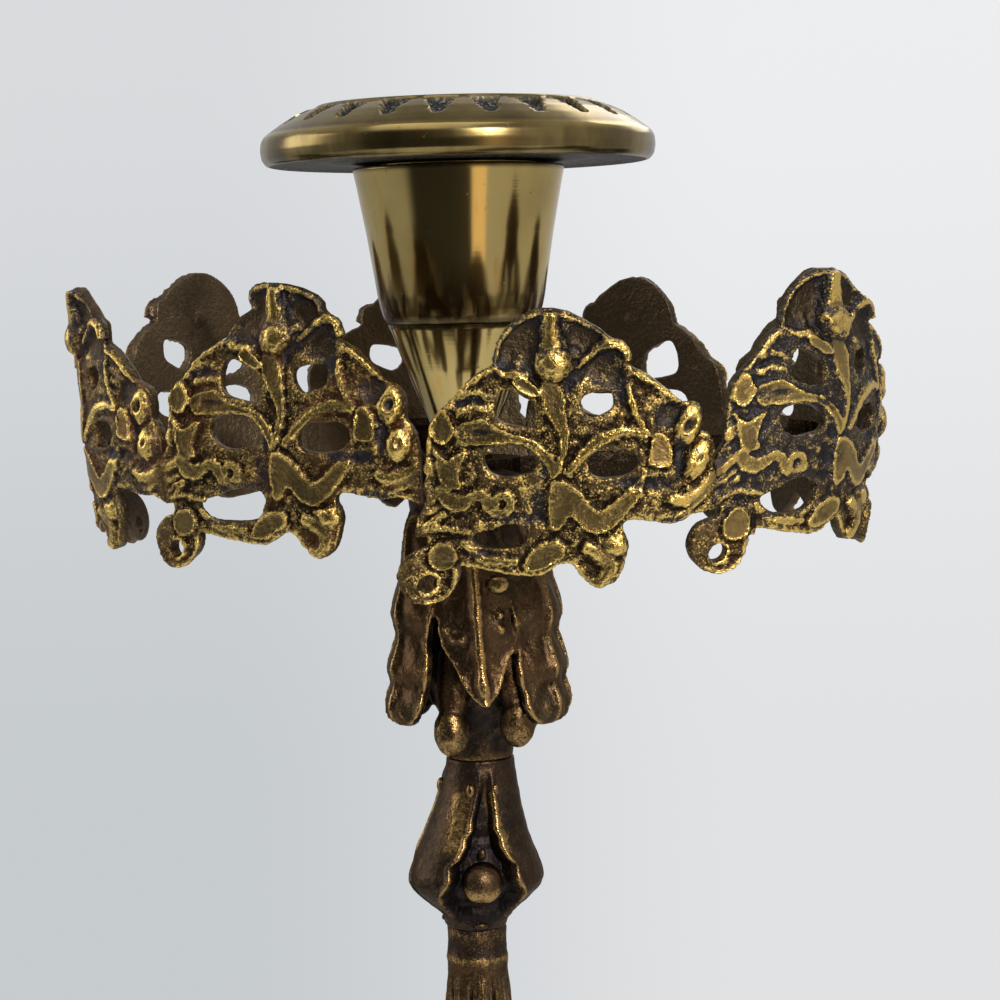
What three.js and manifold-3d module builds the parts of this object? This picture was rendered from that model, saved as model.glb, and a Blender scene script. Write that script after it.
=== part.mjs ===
// A girandole: a brass candlestick with a pierced gallery ring for hanging drops, on a stepped marble base.
// Millimetres, +Z up. The origin is the centre of the base's underside, and the front faces -Y.

import * as THREE from "three";
import { mergeVertices } from "three/addons/utils/BufferGeometryUtils.js";
import Module from "manifold-3d";

const wasm = await Module();
wasm.setup();

// Sizes that more than one piece shares.
const CLEARANCE = 0.3; // left between pieces that touch or slide
const ROD_RADIUS = 2; // steel rod that clamps the stack from the base to the candle cup
const ROUND_STEPS = 32; // facets round a turned piece

// Heights of the stacked pieces, from the table up.
const PLINTH_HEIGHT = 16;
const STEP_HEIGHT = 10;
const FOOT_HEIGHT = 42;
const VASE_HEIGHT = 54;
const KNOP_HEIGHT = 22;
const SHAFT_HEIGHT = 81;
const BALUSTER_HEIGHT = 25;
const CALYX_HEIGHT = 40;
const HUB_HEIGHT = 4;
const CONE_HEIGHT = 19.5;
const CUP_HEIGHT = 22.5;

// Marble base and its fastening.
const PLINTH_WIDTH = 96;
const STEP_WIDTH = 74;
const MARBLE_CHAMFER = 3;
const RECESS_RADIUS = 17;
const RECESS_DEPTH = 9;
const WASHER_RADIUS = 14;
const WASHER_THICKNESS = 2;
const NUT_RADIUS = 6.5;
const NUT_HEIGHT = 4.5;

// Stem castings.
const FOOT_RADIUS = 33;
const FOOT_TOP_RADIUS = 8.5;
const VASE_RADIUS = 13;
const VASE_NECK_RADIUS = 7;
const KNOP_RADIUS = 12.5;
const SHAFT_FOOT_RADIUS = 8;
const SHAFT_TOP_RADIUS = 4.4;
const BEAD_RADIUS = 5;
const BALUSTER_RADIUS = 9.3;
const BALUSTER_FACES = 3; // hollows with a boss, between the shells
const BOSS_RADIUS = 2.7;
const NECK_RADIUS = 4.9;
const NECK_SHIFT = 1.1; // the neck and the leaves were cast this far to the right of the stem's axis
const CALYX_COLLAR_RADIUS = 8.5;
const CALYX_LEAF_REACH = 14.4;
const CALYX_LEAVES = 6;
const CALYX_TURN = 3;
const STEM_TURN = 9; // degrees that the leaves and the baluster's faces are turned from the front

// Candle cup and nozzle.
const CUP_TOP_RADIUS = 15.3;
const CUP_LIP = 0.6;
const CUP_WALL = 1;
const CUP_FLOOR = 3;
const CONE_TOP_RADIUS = 10.9;
const CONE_FOOT_RADIUS = 3.6;
const CONE_BORE_DEPTH = 12; // length of the rod's hole in the cone
const SCREW_HEAD_RADIUS = 3.2;
const SCREW_HEAD_HEIGHT = 1.2;
const SCREW_RADIUS = 1.5;
const SCREW_LENGTH = 6;
const PAN_RADIUS = 28.4;
const PAN_HEIGHT = 8.7;
const PAN_BEAD_RADIUS = 19.6;
const PAN_SEAT = 4.4; // height in the pan where the tube's lip rests
const CANDLE_RADIUS = 11.2;
const TUBE_WALL = 0.8;
const TUBE_LIP = 1.2;

// Gallery ring: eight cast panels end to end, bent by hand into an oval that has gone out of round.
const GALLERY_LEVEL = 3.1; // height of the band's line above the hub's top
const PANEL_THICKNESS = 1.7;
const PANEL_LEFT = 18.2; // lengths of a panel's two halves as cast, from its middle
const PANEL_RIGHT = 20.2;
const PANEL_CREASES = [-12, -4, 4, 12]; // where the bend turns, from the panel's middle
const BAND_BOTTOM = -7.8; // edges of the plain neck between two panels, from the band's line
const BAND_TOP = -1.2;
// The strip's plan from the stem's axis: each panel's middle, then the joint at its right end.
const PANEL_MIDDLES = [
  [12.3, -35.6],
  [50.2, -26.8],
  [51.6, 9.4],
  [27.6, 40.2],
  [-7.8, 46.4],
  [-41.5, 30.5],
  [-53.6, -4],
  [-25.1, -26.2],
];
const PANEL_JOINTS = [
  [31.2, -35.2],
  [57.7, -10.5],
  [42, 26.8],
  [9.8, 46.4],
  [-26, 41.6],
  [-51.6, 14.8],
  [-42.3, -18],
  [-7.1, -32.4],
];
const PANEL_RISES = [-3.5, 0.9, 1.1, 0.4, 0.8, 2.6, 0.6, 0.5]; // how far each panel has sprung up or down
const PANEL_LEANS = [2.7, 0.8, 2, -4.8, 3, 2.7, 2, -1.9]; // degrees outward, above the band's line
const PANEL_TURNS = [1.5, 0.5, 0, 0.3, -0.9, -0.5, 2.6, 2.2]; // degrees that the right side hangs down
const DROP_LEAN = 7.8; // degrees inward, below the band's line
const PANEL_SWAY = 1.8; // degrees that a panel's upright leans to its right
// Edges of a panel between its plain ends: leaf cap over the top, and leaves and drop along the foot.
const PANEL_TOP = [
  [-17, 0.5],
  [-16.7, 6.5],
  [-14.6, 9.2],
  [-10.4, 13.5],
  [-8.4, 14.6],
  [-8, 17],
  [-4.8, 21.1],
  [-0.6, 22.2],
  [3.2, 20.9],
  [8.6, 17.3],
  [8.9, 14.9],
  [15.7, 10],
  [18.2, 9.7],
  [20, 6.5],
];
const PANEL_FOOT = [
  [17.7, -6.5],
  [9, -5.9],
  [9.2, -10.5],
  [7.7, -13.9],
  [5.4, -15],
  [3.2, -13.2],
  [1.6, -11.5],
  [-1.9, -13.3],
  [-8.6, -12.8],
  [-12.2, -12],
];
// Pierced openings of a panel: middle along and up, half sizes, and turn in degrees.
const PANEL_HOLES = [
  [-5.1, 8.9, 2.9, 2.3, -25],
  [5.1, 9.6, 2.2, 1.9, 15],
  [-6, 2, 3.7, 2, 4],
  [7.3, 1.9, 3.2, 1.9, 4],
  [-7.4, -8.2, 3.9, 1.6, 10],
];
// Raised bosses of a panel: middle along and up, half sizes, and height above the plate.
const PANEL_BOSSES = [
  [-0.4, 15.4, 2.3, 3.8, 1.6],
  [-14.8, 6.4, 1.5, 2.2, 1],
  [3.4, -2.4, 2.6, 2.4, 0.9],
  [5.6, -11.6, 2, 2.3, 1],
];
// Loop for a drop's hook, under the left end of each panel.
const LOOP_ALONG = -17.1;
const LOOP_DROP = 13.2;
const LOOP_RADIUS = 4.2;
const EYE_DROP = 14.2;
const EYE_RADIUS = 1.25;

// Carrier of the gallery.
const HUB_RADIUS = 8;
const ARM_WIDTH = 4;
const ARM_THICKNESS = 2.2;
const ARM_DROP = 2.6; // how far below the band's line an arm meets it
const PAD_WIDTH = 5;
const PAD_HEIGHT = 4;
const PAD_THICKNESS = 1.4;
const ARM_EVERY = 2; // an arm goes to the middle of every second panel
const NECK_SHARES = [0.36, 0.64]; // stretch of the way to the next panel in which the strip eases to its height

// Heights where one stacked piece ends and the next begins.
const STEP_BASE = PLINTH_HEIGHT;
const FOOT_BASE = STEP_BASE + STEP_HEIGHT;
const VASE_BASE = FOOT_BASE + FOOT_HEIGHT;
const KNOP_BASE = VASE_BASE + VASE_HEIGHT;
const SHAFT_BASE = KNOP_BASE + KNOP_HEIGHT;
const BALUSTER_BASE = SHAFT_BASE + SHAFT_HEIGHT;
const CALYX_BASE = BALUSTER_BASE + BALUSTER_HEIGHT;
const HUB_BASE = CALYX_BASE + CALYX_HEIGHT;
const CONE_BASE = HUB_BASE + HUB_HEIGHT;
const CUP_BASE = CONE_BASE + CONE_HEIGHT;
const CUP_TOP = CUP_BASE + CUP_HEIGHT;
const PAN_BASE = CUP_TOP + CLEARANCE;
const BAND_HEIGHT = CONE_BASE + GALLERY_LEVEL;
const ROD_BORE = ROD_RADIUS + CLEARANCE;
const TUBE_RADIUS = CANDLE_RADIUS + TUBE_WALL;
const PAN_BORE = TUBE_RADIUS + CLEARANCE;
const WELL_RADIUS = CANDLE_RADIUS + CLEARANCE; // inside of the cup at its floor
const CUP_FOOT_RADIUS = WELL_RADIUS + CUP_WALL;
const CUP_MOUTH_RADIUS = CUP_TOP_RADIUS - CUP_WALL;
const WASHER_BASE = RECESS_DEPTH - WASHER_THICKNESS;
const NUT_BASE = WASHER_BASE - NUT_HEIGHT;

const degrees = THREE.MathUtils.degToRad;
const TAU = 2 * Math.PI;

// Solids and booleans.

// A closed geometry as a solid. Faces that point in are turned to point out.
function solid(geometry) {
  const bare = geometry.clone();
  bare.deleteAttribute("normal");
  bare.deleteAttribute("uv");
  const merged = mergeVertices(bare, 1e-4);
  const vertProperties = new Float32Array(merged.attributes.position.array);
  const triVerts = new Uint32Array(merged.index.array);
  const made = new wasm.Manifold(new wasm.Mesh({ numProp: 3, vertProperties, triVerts }));
  if (made.volume() > 0) return made;
  return new wasm.Manifold(new wasm.Mesh({ numProp: 3, vertProperties, triVerts: triVerts.reverse() }));
}

function geometryOf(manifold) {
  const mesh = manifold.getMesh();
  const count = mesh.vertProperties.length / mesh.numProp;
  const positions = new Float32Array(count * 3);
  for (let i = 0; i < count; i += 1) {
    positions.set(mesh.vertProperties.subarray(i * mesh.numProp, i * mesh.numProp + 3), i * 3);
  }
  const geometry = new THREE.BufferGeometry();
  geometry.setAttribute("position", new THREE.BufferAttribute(positions, 3));
  geometry.setIndex(new THREE.BufferAttribute(new Uint32Array(mesh.triVerts), 1));
  geometry.computeVertexNormals();
  return geometry;
}

// A turned solid from [radius, height] points that go up its outside. Facets can be set, as on a square base.
function turned(points, steps = ROUND_STEPS) {
  const geometry = new THREE.LatheGeometry(points.map(([r, z]) => new THREE.Vector2(r, z)), steps);
  geometry.rotateX(Math.PI / 2);
  return solid(geometry);
}

function rod(radius, low, high, steps = 16) {
  const geometry = new THREE.CylinderGeometry(radius, radius, high - low, steps);
  geometry.rotateX(Math.PI / 2);
  geometry.translate(0, 0, (low + high) / 2);
  return solid(geometry);
}

function ball(radii, place, across = 6, down = 4) {
  const geometry = new THREE.SphereGeometry(1, across, down);
  geometry.rotateX(Math.PI / 2);
  geometry.scale(...radii);
  geometry.translate(...place);
  return solid(geometry);
}

// A turned solid whose radius swells into lobes: swell gives the share added at a height, and shift how far
// the solid is off the axis there.
function lobed(points, lobes, swell, turn = 0, steps = ROUND_STEPS, shift = () => 0) {
  const geometry = new THREE.LatheGeometry(points.map(([r, z]) => new THREE.Vector2(r, z)), steps);
  geometry.rotateX(Math.PI / 2);
  const place = geometry.attributes.position;
  for (let i = 0; i < place.count; i += 1) {
    const x = place.getX(i);
    const y = place.getY(i);
    const angle = Math.atan2(y, x) - degrees(turn - 90);
    const factor = 1 + swell(place.getZ(i)) * Math.cos(lobes * angle);
    place.setX(i, x * factor + shift(place.getZ(i)));
    place.setY(i, y * factor);
  }
  return solid(geometry);
}

function bored(manifold, low, high) {
  return manifold.subtract(rod(ROD_BORE, low, high, 12));
}

// Smooth 0 to 1 hump over a stretch of heights.
function hump(z, low, high) {
  const t = (z - low) / (high - low);
  return t <= 0 || t >= 1 ? 0 : Math.sin(Math.PI * t) ** 2;
}

// Marble base.

function squareBlock(width, low, height) {
  const corner = Math.SQRT1_2 * width;
  const chamfer = Math.SQRT2 * MARBLE_CHAMFER;
  const top = low + height;
  const block = turned(
    [
      [0, low],
      [corner, low],
      [corner, top - MARBLE_CHAMFER],
      [corner - chamfer, top],
      [0, top],
    ],
    4,
  );
  return block.rotate([0, 0, 45]);
}

function marblePlinth() {
  const block = squareBlock(PLINTH_WIDTH, 0, PLINTH_HEIGHT);
  const recess = rod(RECESS_RADIUS, -1, RECESS_DEPTH, 32);
  return bored(block.subtract(recess), 0, PLINTH_HEIGHT + 1);
}

function marbleStep() {
  return bored(squareBlock(STEP_WIDTH, STEP_BASE, STEP_HEIGHT), STEP_BASE - 1, FOOT_BASE + 1);
}

function clampWasher() {
  const disc = rod(WASHER_RADIUS, WASHER_BASE, RECESS_DEPTH, 24);
  return bored(disc, WASHER_BASE - 1, RECESS_DEPTH + 1);
}

function clampNut() {
  const hexagon = rod(NUT_RADIUS, NUT_BASE, WASHER_BASE, 6);
  return bored(hexagon, NUT_BASE - 1, WASHER_BASE + 1);
}

function tieRod() {
  return rod(ROD_RADIUS, NUT_BASE, CONE_BASE + CONE_BORE_DEPTH - CLEARANCE, 12);
}

// Stem castings, from the foot up. Each profile goes up the outside at shares of its own height.

function stacked(base, height, points) {
  const rows = points.map(([radius, share]) => [radius, base + share * height]);
  return [[0, base], ...rows, [0, base + height]];
}

function footMount() {
  const profile = stacked(FOOT_BASE, FOOT_HEIGHT, [
    [FOOT_RADIUS, 0],
    [FOOT_RADIUS, 0.09],
    [FOOT_RADIUS - 2, 0.14],
    [FOOT_RADIUS - 4, 0.16],
    [FOOT_RADIUS - 6.5, 0.3],
    [FOOT_RADIUS - 13, 0.46],
    [FOOT_TOP_RADIUS + 5, 0.6],
    [FOOT_TOP_RADIUS, 0.72],
    [FOOT_TOP_RADIUS - 1.5, 0.84],
    [FOOT_TOP_RADIUS + 1.5, 0.9],
    [FOOT_TOP_RADIUS + 1.5, 1],
  ]);
  const low = FOOT_BASE + 0.14 * FOOT_HEIGHT;
  const high = FOOT_BASE + 0.75 * FOOT_HEIGHT;
  const body = lobed(profile, 8, (z) => 0.07 * hump(z, low, high), 22.5, 40);
  return bored(body, FOOT_BASE - 1, VASE_BASE + 1);
}

function lowerVase() {
  const profile = stacked(VASE_BASE, VASE_HEIGHT, [
    [VASE_NECK_RADIUS, 0],
    [VASE_NECK_RADIUS - 0.5, 0.06],
    [VASE_RADIUS - 3, 0.18],
    [VASE_RADIUS, 0.32],
    [VASE_RADIUS - 1, 0.44],
    [VASE_NECK_RADIUS + 1, 0.66],
    [VASE_NECK_RADIUS - 1.5, 0.84],
    [VASE_NECK_RADIUS - 1, 0.9],
    [VASE_NECK_RADIUS + 1, 0.94],
    [VASE_NECK_RADIUS + 1, 1],
  ]);
  const low = VASE_BASE + 0.05 * VASE_HEIGHT;
  const high = VASE_BASE + 0.85 * VASE_HEIGHT;
  const body = lobed(profile, 8, (z) => 0.06 * hump(z, low, high), STEM_TURN);
  return bored(body, VASE_BASE - 1, KNOP_BASE + 1);
}

function stemKnop() {
  const profile = stacked(KNOP_BASE, KNOP_HEIGHT, [
    [VASE_NECK_RADIUS, 0],
    [VASE_NECK_RADIUS, 0.1],
    [KNOP_RADIUS - 2.5, 0.26],
    [KNOP_RADIUS, 0.45],
    [KNOP_RADIUS - 1, 0.6],
    [KNOP_RADIUS - 4.5, 0.76],
    [SHAFT_FOOT_RADIUS, 0.84],
    [SHAFT_FOOT_RADIUS + 1, 0.9],
    [SHAFT_FOOT_RADIUS + 1, 1],
  ]);
  const low = KNOP_BASE + 0.1 * KNOP_HEIGHT;
  const high = KNOP_BASE + 0.8 * KNOP_HEIGHT;
  const body = lobed(profile, 8, (z) => 0.09 * hump(z, low, high), STEM_TURN);
  return bored(body, KNOP_BASE - 1, SHAFT_BASE + 1);
}

function upperShaft() {
  const profile = stacked(SHAFT_BASE, SHAFT_HEIGHT, [
    [SHAFT_FOOT_RADIUS - 0.5, 0],
    [SHAFT_FOOT_RADIUS - 1, 0.05],
    [SHAFT_FOOT_RADIUS + 0.5, 0.12],
    [SHAFT_FOOT_RADIUS - 0.5, 0.24],
    [SHAFT_TOP_RADIUS + 1.8, 0.5],
    [SHAFT_TOP_RADIUS + 0.5, 0.86],
    [SHAFT_TOP_RADIUS, 0.935],
    [BEAD_RADIUS, 0.945],
    [BEAD_RADIUS, 0.96],
    [SHAFT_TOP_RADIUS + 0.2, 0.97],
    [SHAFT_TOP_RADIUS + 0.2, 1],
  ]);
  const low = SHAFT_BASE + 0.05 * SHAFT_HEIGHT;
  const high = SHAFT_BASE + 0.93 * SHAFT_HEIGHT;
  const body = lobed(profile, 8, (z) => 0.05 * hump(z, low, high), STEM_TURN);
  return bored(body, SHAFT_BASE - 1, BALUSTER_BASE + 1);
}

function baluster() {
  const profile = stacked(BALUSTER_BASE, BALUSTER_HEIGHT, [
    [SHAFT_TOP_RADIUS + 0.2, 0],
    [SHAFT_TOP_RADIUS + 1.4, 0.08],
    [BALUSTER_RADIUS - 2.2, 0.16],
    [BALUSTER_RADIUS - 0.5, 0.24],
    [BALUSTER_RADIUS, 0.31],
    [BALUSTER_RADIUS - 0.8, 0.42],
    [BALUSTER_RADIUS - 2.2, 0.58],
    [NECK_RADIUS + 1.1, 0.76],
    [NECK_RADIUS + 0.2, 0.92],
    [NECK_RADIUS, 1],
  ]);
  const low = BALUSTER_BASE;
  const high = BALUSTER_BASE + 0.9 * BALUSTER_HEIGHT;
  const swell = (z) => -0.08 * hump(z, low, high);
  const bend = BALUSTER_BASE + 0.4 * BALUSTER_HEIGHT;
  const shift = (z) => NECK_SHIFT * THREE.MathUtils.smoothstep(z, bend, CALYX_BASE);
  let body = lobed(profile, BALUSTER_FACES, swell, STEM_TURN, 36, shift);
  for (let i = 0; i < BALUSTER_FACES; i += 1) {
    const middle = [0, BOSS_RADIUS - 0.6 - BALUSTER_RADIUS, BALUSTER_BASE + 0.34 * BALUSTER_HEIGHT];
    const boss = ball([BOSS_RADIUS, BOSS_RADIUS, 1.15 * BOSS_RADIUS], middle, 8, 6);
    body = body.add(boss.rotate([0, 0, STEM_TURN + (i * 360) / BALUSTER_FACES]));
  }
  return bored(body, BALUSTER_BASE - 1, CALYX_BASE + 1);
}

// A drooping leaf: a curved blade from its root to its tip, wider in three lobes, thick along the middle.
function droopingLeaf(spine, halfWidth, thickness, curl) {
  const along = 6;
  const across = 2;
  const front = [];
  const back = [];
  for (let i = 0; i <= along; i += 1) {
    const t = i / along;
    const point = spine.getPoint(t);
    const tangent = spine.getTangent(t);
    const normal = new THREE.Vector2(tangent.y, -tangent.x);
    if (normal.x < 0) normal.negate();
    for (let j = 0; j <= across; j += 1) {
      const side = (2 * j) / across - 1;
      const half = halfWidth(t);
      const bow = curl * half * side * side;
      const thick = thickness * (1 - 0.6 * side * side) * (1 - 0.5 * t);
      const radial = point.x - bow * normal.x;
      const height = point.y - bow * normal.y;
      front.push([radial + normal.x * thick / 2, side * half, height + normal.y * thick / 2]);
      back.push([radial - normal.x * thick / 2, side * half, height - normal.y * thick / 2]);
    }
  }
  const row = across + 1;
  const total = front.length;
  const triangles = [];
  const quad = (a, b, c, d) => triangles.push(a, b, c, a, c, d);
  for (let i = 0; i < along; i += 1) {
    for (let j = 0; j < across; j += 1) {
      const a = i * row + j;
      quad(a, a + row, a + row + 1, a + 1);
      quad(total + a, total + a + 1, total + a + row + 1, total + a + row);
    }
    const left = i * row;
    const right = i * row + across;
    quad(left, total + left, total + left + row, left + row);
    quad(right, right + row, total + right + row, total + right);
  }
  for (let j = 0; j < across; j += 1) {
    const last = along * row + j;
    quad(j, j + 1, total + j + 1, total + j);
    quad(last, total + last, total + last + 1, last + 1);
  }
  const geometry = new THREE.BufferGeometry();
  geometry.setAttribute("position", new THREE.Float32BufferAttribute([...front, ...back].flat(), 3));
  geometry.setIndex(triangles);
  return solid(geometry).rotate([0, 0, -90]);
}

function leafCalyx() {
  const top = HUB_BASE;
  const profile = [
    [0, CALYX_BASE],
    [NECK_RADIUS, CALYX_BASE],
    [NECK_RADIUS + 0.1, CALYX_BASE + 4],
    [NECK_RADIUS + 0.8, CALYX_BASE + 12],
    [NECK_RADIUS + 1.6, top - 10],
    [CALYX_COLLAR_RADIUS - 1, top - 4],
    [CALYX_COLLAR_RADIUS, top - 2.5],
    [CALYX_COLLAR_RADIUS, top],
    [0, top],
  ];
  const shift = (z) => NECK_SHIFT * (1 - THREE.MathUtils.smoothstep(z, top - 12, top - 4));
  let body = lobed(profile, 1, () => 0, 0, 16, shift);
  const reach = CALYX_LEAF_REACH;
  const spine = new THREE.SplineCurve([
    new THREE.Vector2(CALYX_COLLAR_RADIUS - 2, top - 2),
    new THREE.Vector2(CALYX_COLLAR_RADIUS + 1, top - 9),
    new THREE.Vector2(reach - 2.4, top - 18),
    new THREE.Vector2(reach - 1.5, top - 27),
    new THREE.Vector2(reach, top - 35),
  ]);
  const lobes = (t) => (1.4 + 4.6 * Math.sin(Math.PI * Math.min(1, 0.12 + t * 0.88)) ** 0.8)
    * (1 + 0.13 * Math.cos(TAU * 3 * t));
  for (let i = 0; i < CALYX_LEAVES; i += 1) {
    const turn = CALYX_TURN + (i * 360) / CALYX_LEAVES;
    const between = turn + 180 / CALYX_LEAVES;
    body = body.add(droopingLeaf(spine, lobes, 2.2, 0.5).rotate([0, 0, turn]).translate([NECK_SHIFT, 0, 0]));
    const bulb = ball([2.4, 2.4, 3.4], [0, -NECK_RADIUS - 4.4, CALYX_BASE + 5]);
    const root = [0, -NECK_RADIUS - 2.9, CALYX_BASE + 14.5];
    const stalk = ball([1.7, 1.6, 11], [0, 0, 0]).rotate([-9, 0, 0]).translate(root);
    body = body.add(bulb.add(stalk).rotate([0, 0, between]).translate([NECK_SHIFT, 0, 0]));
  }
  return bored(body, CALYX_BASE - 1, top + 1);
}

// The gallery's plan line, followed by distance from the front panel's middle.

const PANEL_COUNT = PANEL_MIDDLES.length;
const RING_STEPS = 90 * PANEL_COUNT;
const ringPoints = PANEL_MIDDLES.flatMap((middle, i) => [middle, PANEL_JOINTS[i]]);
const ring = new THREE.CatmullRomCurve3(ringPoints.map(([x, y]) => new THREE.Vector3(x, y, 0)), true);
ring.arcLengthDivisions = RING_STEPS;
const ringLengths = ring.getLengths(RING_STEPS);
const RING_LENGTH = ringLengths[RING_STEPS];
const panelDistances = PANEL_MIDDLES.map((_, i) => ringLengths[(i * RING_STEPS) / PANEL_COUNT]);

// Distance of a panel's middle, counted on past a full turn.
function middleOf(index) {
  const laps = Math.floor(index / PANEL_COUNT);
  return panelDistances[index - laps * PANEL_COUNT] + laps * RING_LENGTH;
}

// A point of a flat panel (along, up and out from its middle) on the ring. The panel's halves are stretched
// or packed a little to meet the panels next to it. Over the neck its height and lean ease into theirs,
// except at the lap, where the strip's two ends pass each other.
function onPanel(index, along, up, out) {
  const side = along < 0 ? -1 : 1;
  const next = (index + side + PANEL_COUNT) % PANEL_COUNT;
  const gap = Math.abs(middleOf(index + side) - middleOf(index));
  const reach = (along * (gap - CLEARANCE)) / (PANEL_LEFT + PANEL_RIGHT);
  const share = Math.abs(reach) / gap;
  const lapped = Math.abs(next - index) > 1;
  const give = lapped ? 0 : THREE.MathUtils.smoothstep(share, ...NECK_SHARES);
  const hang = 1 - THREE.MathUtils.smoothstep(share, NECK_SHARES[0], 0.5);
  const rise = THREE.MathUtils.lerp(PANEL_RISES[index], PANEL_RISES[next], give)
    - reach * hang * Math.tan(degrees(PANEL_TURNS[index]));
  const leanAbove = THREE.MathUtils.lerp(PANEL_LEANS[index], PANEL_LEANS[next], give);
  const lean = degrees(up > 0 ? leanAbove : DROP_LEAN);
  const distance = middleOf(index) + reach + up * Math.tan(degrees(PANEL_SWAY));
  const turnShare = THREE.MathUtils.euclideanModulo(distance / RING_LENGTH, 1);
  const point = ring.getPointAt(turnShare);
  const tangent = ring.getTangentAt(turnShare);
  const outward = out * Math.cos(lean) + up * Math.sin(lean);
  return [
    point.x + tangent.y * outward,
    point.y - tangent.x * outward,
    BAND_HEIGHT + rise + up * Math.cos(lean) - out * Math.sin(lean),
  ];
}

// One panel as cast flat, with its front facing +Z.
function flatPanel() {
  const corners = [
    [-PANEL_LEFT, BAND_BOTTOM],
    [-PANEL_LEFT, BAND_TOP],
    ...PANEL_TOP,
    [PANEL_RIGHT, BAND_TOP],
    [PANEL_RIGHT, BAND_BOTTOM],
    ...PANEL_FOOT,
    [LOOP_ALONG, -LOOP_DROP],
    [LOOP_ALONG, BAND_BOTTOM],
  ];
  const outline = new THREE.Shape(corners.map(([x, y]) => new THREE.Vector2(x, y)));
  for (const [x, y, halfLength, halfHeight, turn] of PANEL_HOLES) {
    const edge = new THREE.EllipseCurve(x, y, halfLength, halfHeight, 0, TAU, false, degrees(turn));
    outline.holes.push(new THREE.Path(edge.getPoints(7).slice(1)));
  }
  let plate = solid(new THREE.ExtrudeGeometry(outline, { depth: PANEL_THICKNESS, bevelEnabled: false }));
  const loop = rod(LOOP_RADIUS, 0, PANEL_THICKNESS, 10).translate([LOOP_ALONG, -LOOP_DROP, 0]);
  const eye = rod(EYE_RADIUS, -1, PANEL_THICKNESS + 1, 6).translate([LOOP_ALONG, -EYE_DROP, 0]);
  plate = plate.add(loop).subtract(eye);
  for (const [x, y, halfLength, halfHeight, height] of PANEL_BOSSES) {
    plate = plate.add(ball([halfLength, halfHeight, height], [x, y, PANEL_THICKNESS]));
  }
  return plate;
}

// Cuts the triangles that cross a plane, at a value of x or y, into pieces that share its line, so that the
// surface can bend there.
function creased(geometry, axis, value) {
  const points = [];
  const position = geometry.attributes.position;
  for (let k = 0; k < position.count; k += 1) points.push(new THREE.Vector3().fromBufferAttribute(position, k));
  const side = (k) => (Math.abs(points[k][axis] - value) < 1e-3 ? 0 : Math.sign(points[k][axis] - value));
  const crossings = new Map();
  const crossing = (a, b) => {
    const key = `${Math.min(a, b)} ${Math.max(a, b)}`;
    if (!crossings.has(key)) {
      const share = (value - points[a][axis]) / (points[b][axis] - points[a][axis]);
      crossings.set(key, points.length);
      points.push(points[a].clone().lerp(points[b], share));
    }
    return crossings.get(key);
  };
  const corners = [...geometry.index.array];
  const triangles = [];
  for (let i = 0; i < corners.length; i += 3) {
    const sides = [0, 1, 2].map((k) => side(corners[i + k]));
    // Turned so that the first corner is the one that lies alone on its side, or on the plane.
    let first = sides.findIndex((s, k) => s !== 0 && sides[(k + 1) % 3] === -s && sides[(k + 2) % 3] === -s);
    if (first < 0 && sides.includes(1) && sides.includes(-1)) first = sides.indexOf(0);
    const [a, b, c] = [0, 1, 2].map((k) => corners[i + ((Math.max(first, 0) + k) % 3)]);
    if (first < 0) {
      triangles.push(a, b, c);
    } else if (side(a) === 0) {
      const middle = crossing(b, c);
      triangles.push(a, b, middle, a, middle, c);
    } else {
      const ab = crossing(a, b);
      const ac = crossing(a, c);
      triangles.push(a, ab, ac, ab, b, c, ab, c, ac);
    }
  }
  const made = new THREE.BufferGeometry().setFromPoints(points);
  made.setIndex(triangles);
  return made;
}

function bentPanel(index) {
  const plate = creased(geometryOf(flatPanel()), "y", 0);
  const geometry = PANEL_CREASES.reduce((cut, along) => creased(cut, "x", along), plate);
  const place = geometry.attributes.position;
  for (let k = 0; k < place.count; k += 1) {
    place.setXYZ(k, ...onPanel(index, place.getX(k), place.getY(k), place.getZ(k) - PANEL_THICKNESS / 2));
  }
  return solid(geometry);
}

// The carrier: a hub clamped under the candle cup's cone, with arms to the flats on the inside of the band.
function gallerySpider() {
  let body = rod(HUB_RADIUS, HUB_BASE, CONE_BASE, 24);
  const inside = -PANEL_THICKNESS / 2 - CLEARANCE;
  for (let i = 0; i < PANEL_COUNT; i += ARM_EVERY) {
    const ends = [PANEL_CREASES[1], PANEL_CREASES[2]].map(
      (along) => new THREE.Vector3(...onPanel(i, along, -ARM_DROP, inside)),
    );
    const face = ends[0].clone().lerp(ends[1], 0.5);
    const heading = Math.atan2(ends[1].y - ends[0].y, ends[1].x - ends[0].x);
    const root = new THREE.Vector3(0, 0, HUB_BASE + HUB_HEIGHT / 2);
    const span = face.clone().sub(root);
    const length = span.length() - PAD_THICKNESS / 2;
    const arm = new THREE.BoxGeometry(length, ARM_WIDTH, ARM_THICKNESS);
    arm.translate(length / 2, 0, 0);
    arm.rotateY(-Math.atan2(span.z, Math.hypot(span.x, span.y)));
    arm.rotateZ(Math.atan2(span.y, span.x));
    arm.translate(root.x, root.y, root.z);
    const pad = new THREE.BoxGeometry(PAD_WIDTH, PAD_THICKNESS, PAD_HEIGHT);
    pad.translate(0, PAD_THICKNESS / 2, 0);
    pad.rotateX(degrees(DROP_LEAN));
    pad.rotateZ(heading);
    pad.translate(face.x, face.y, face.z);
    body = body.add(solid(arm)).add(solid(pad));
  }
  return bored(body, HUB_BASE - 1, CONE_BASE + 1);
}

// Candle cup, its cone and the nozzle.

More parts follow.
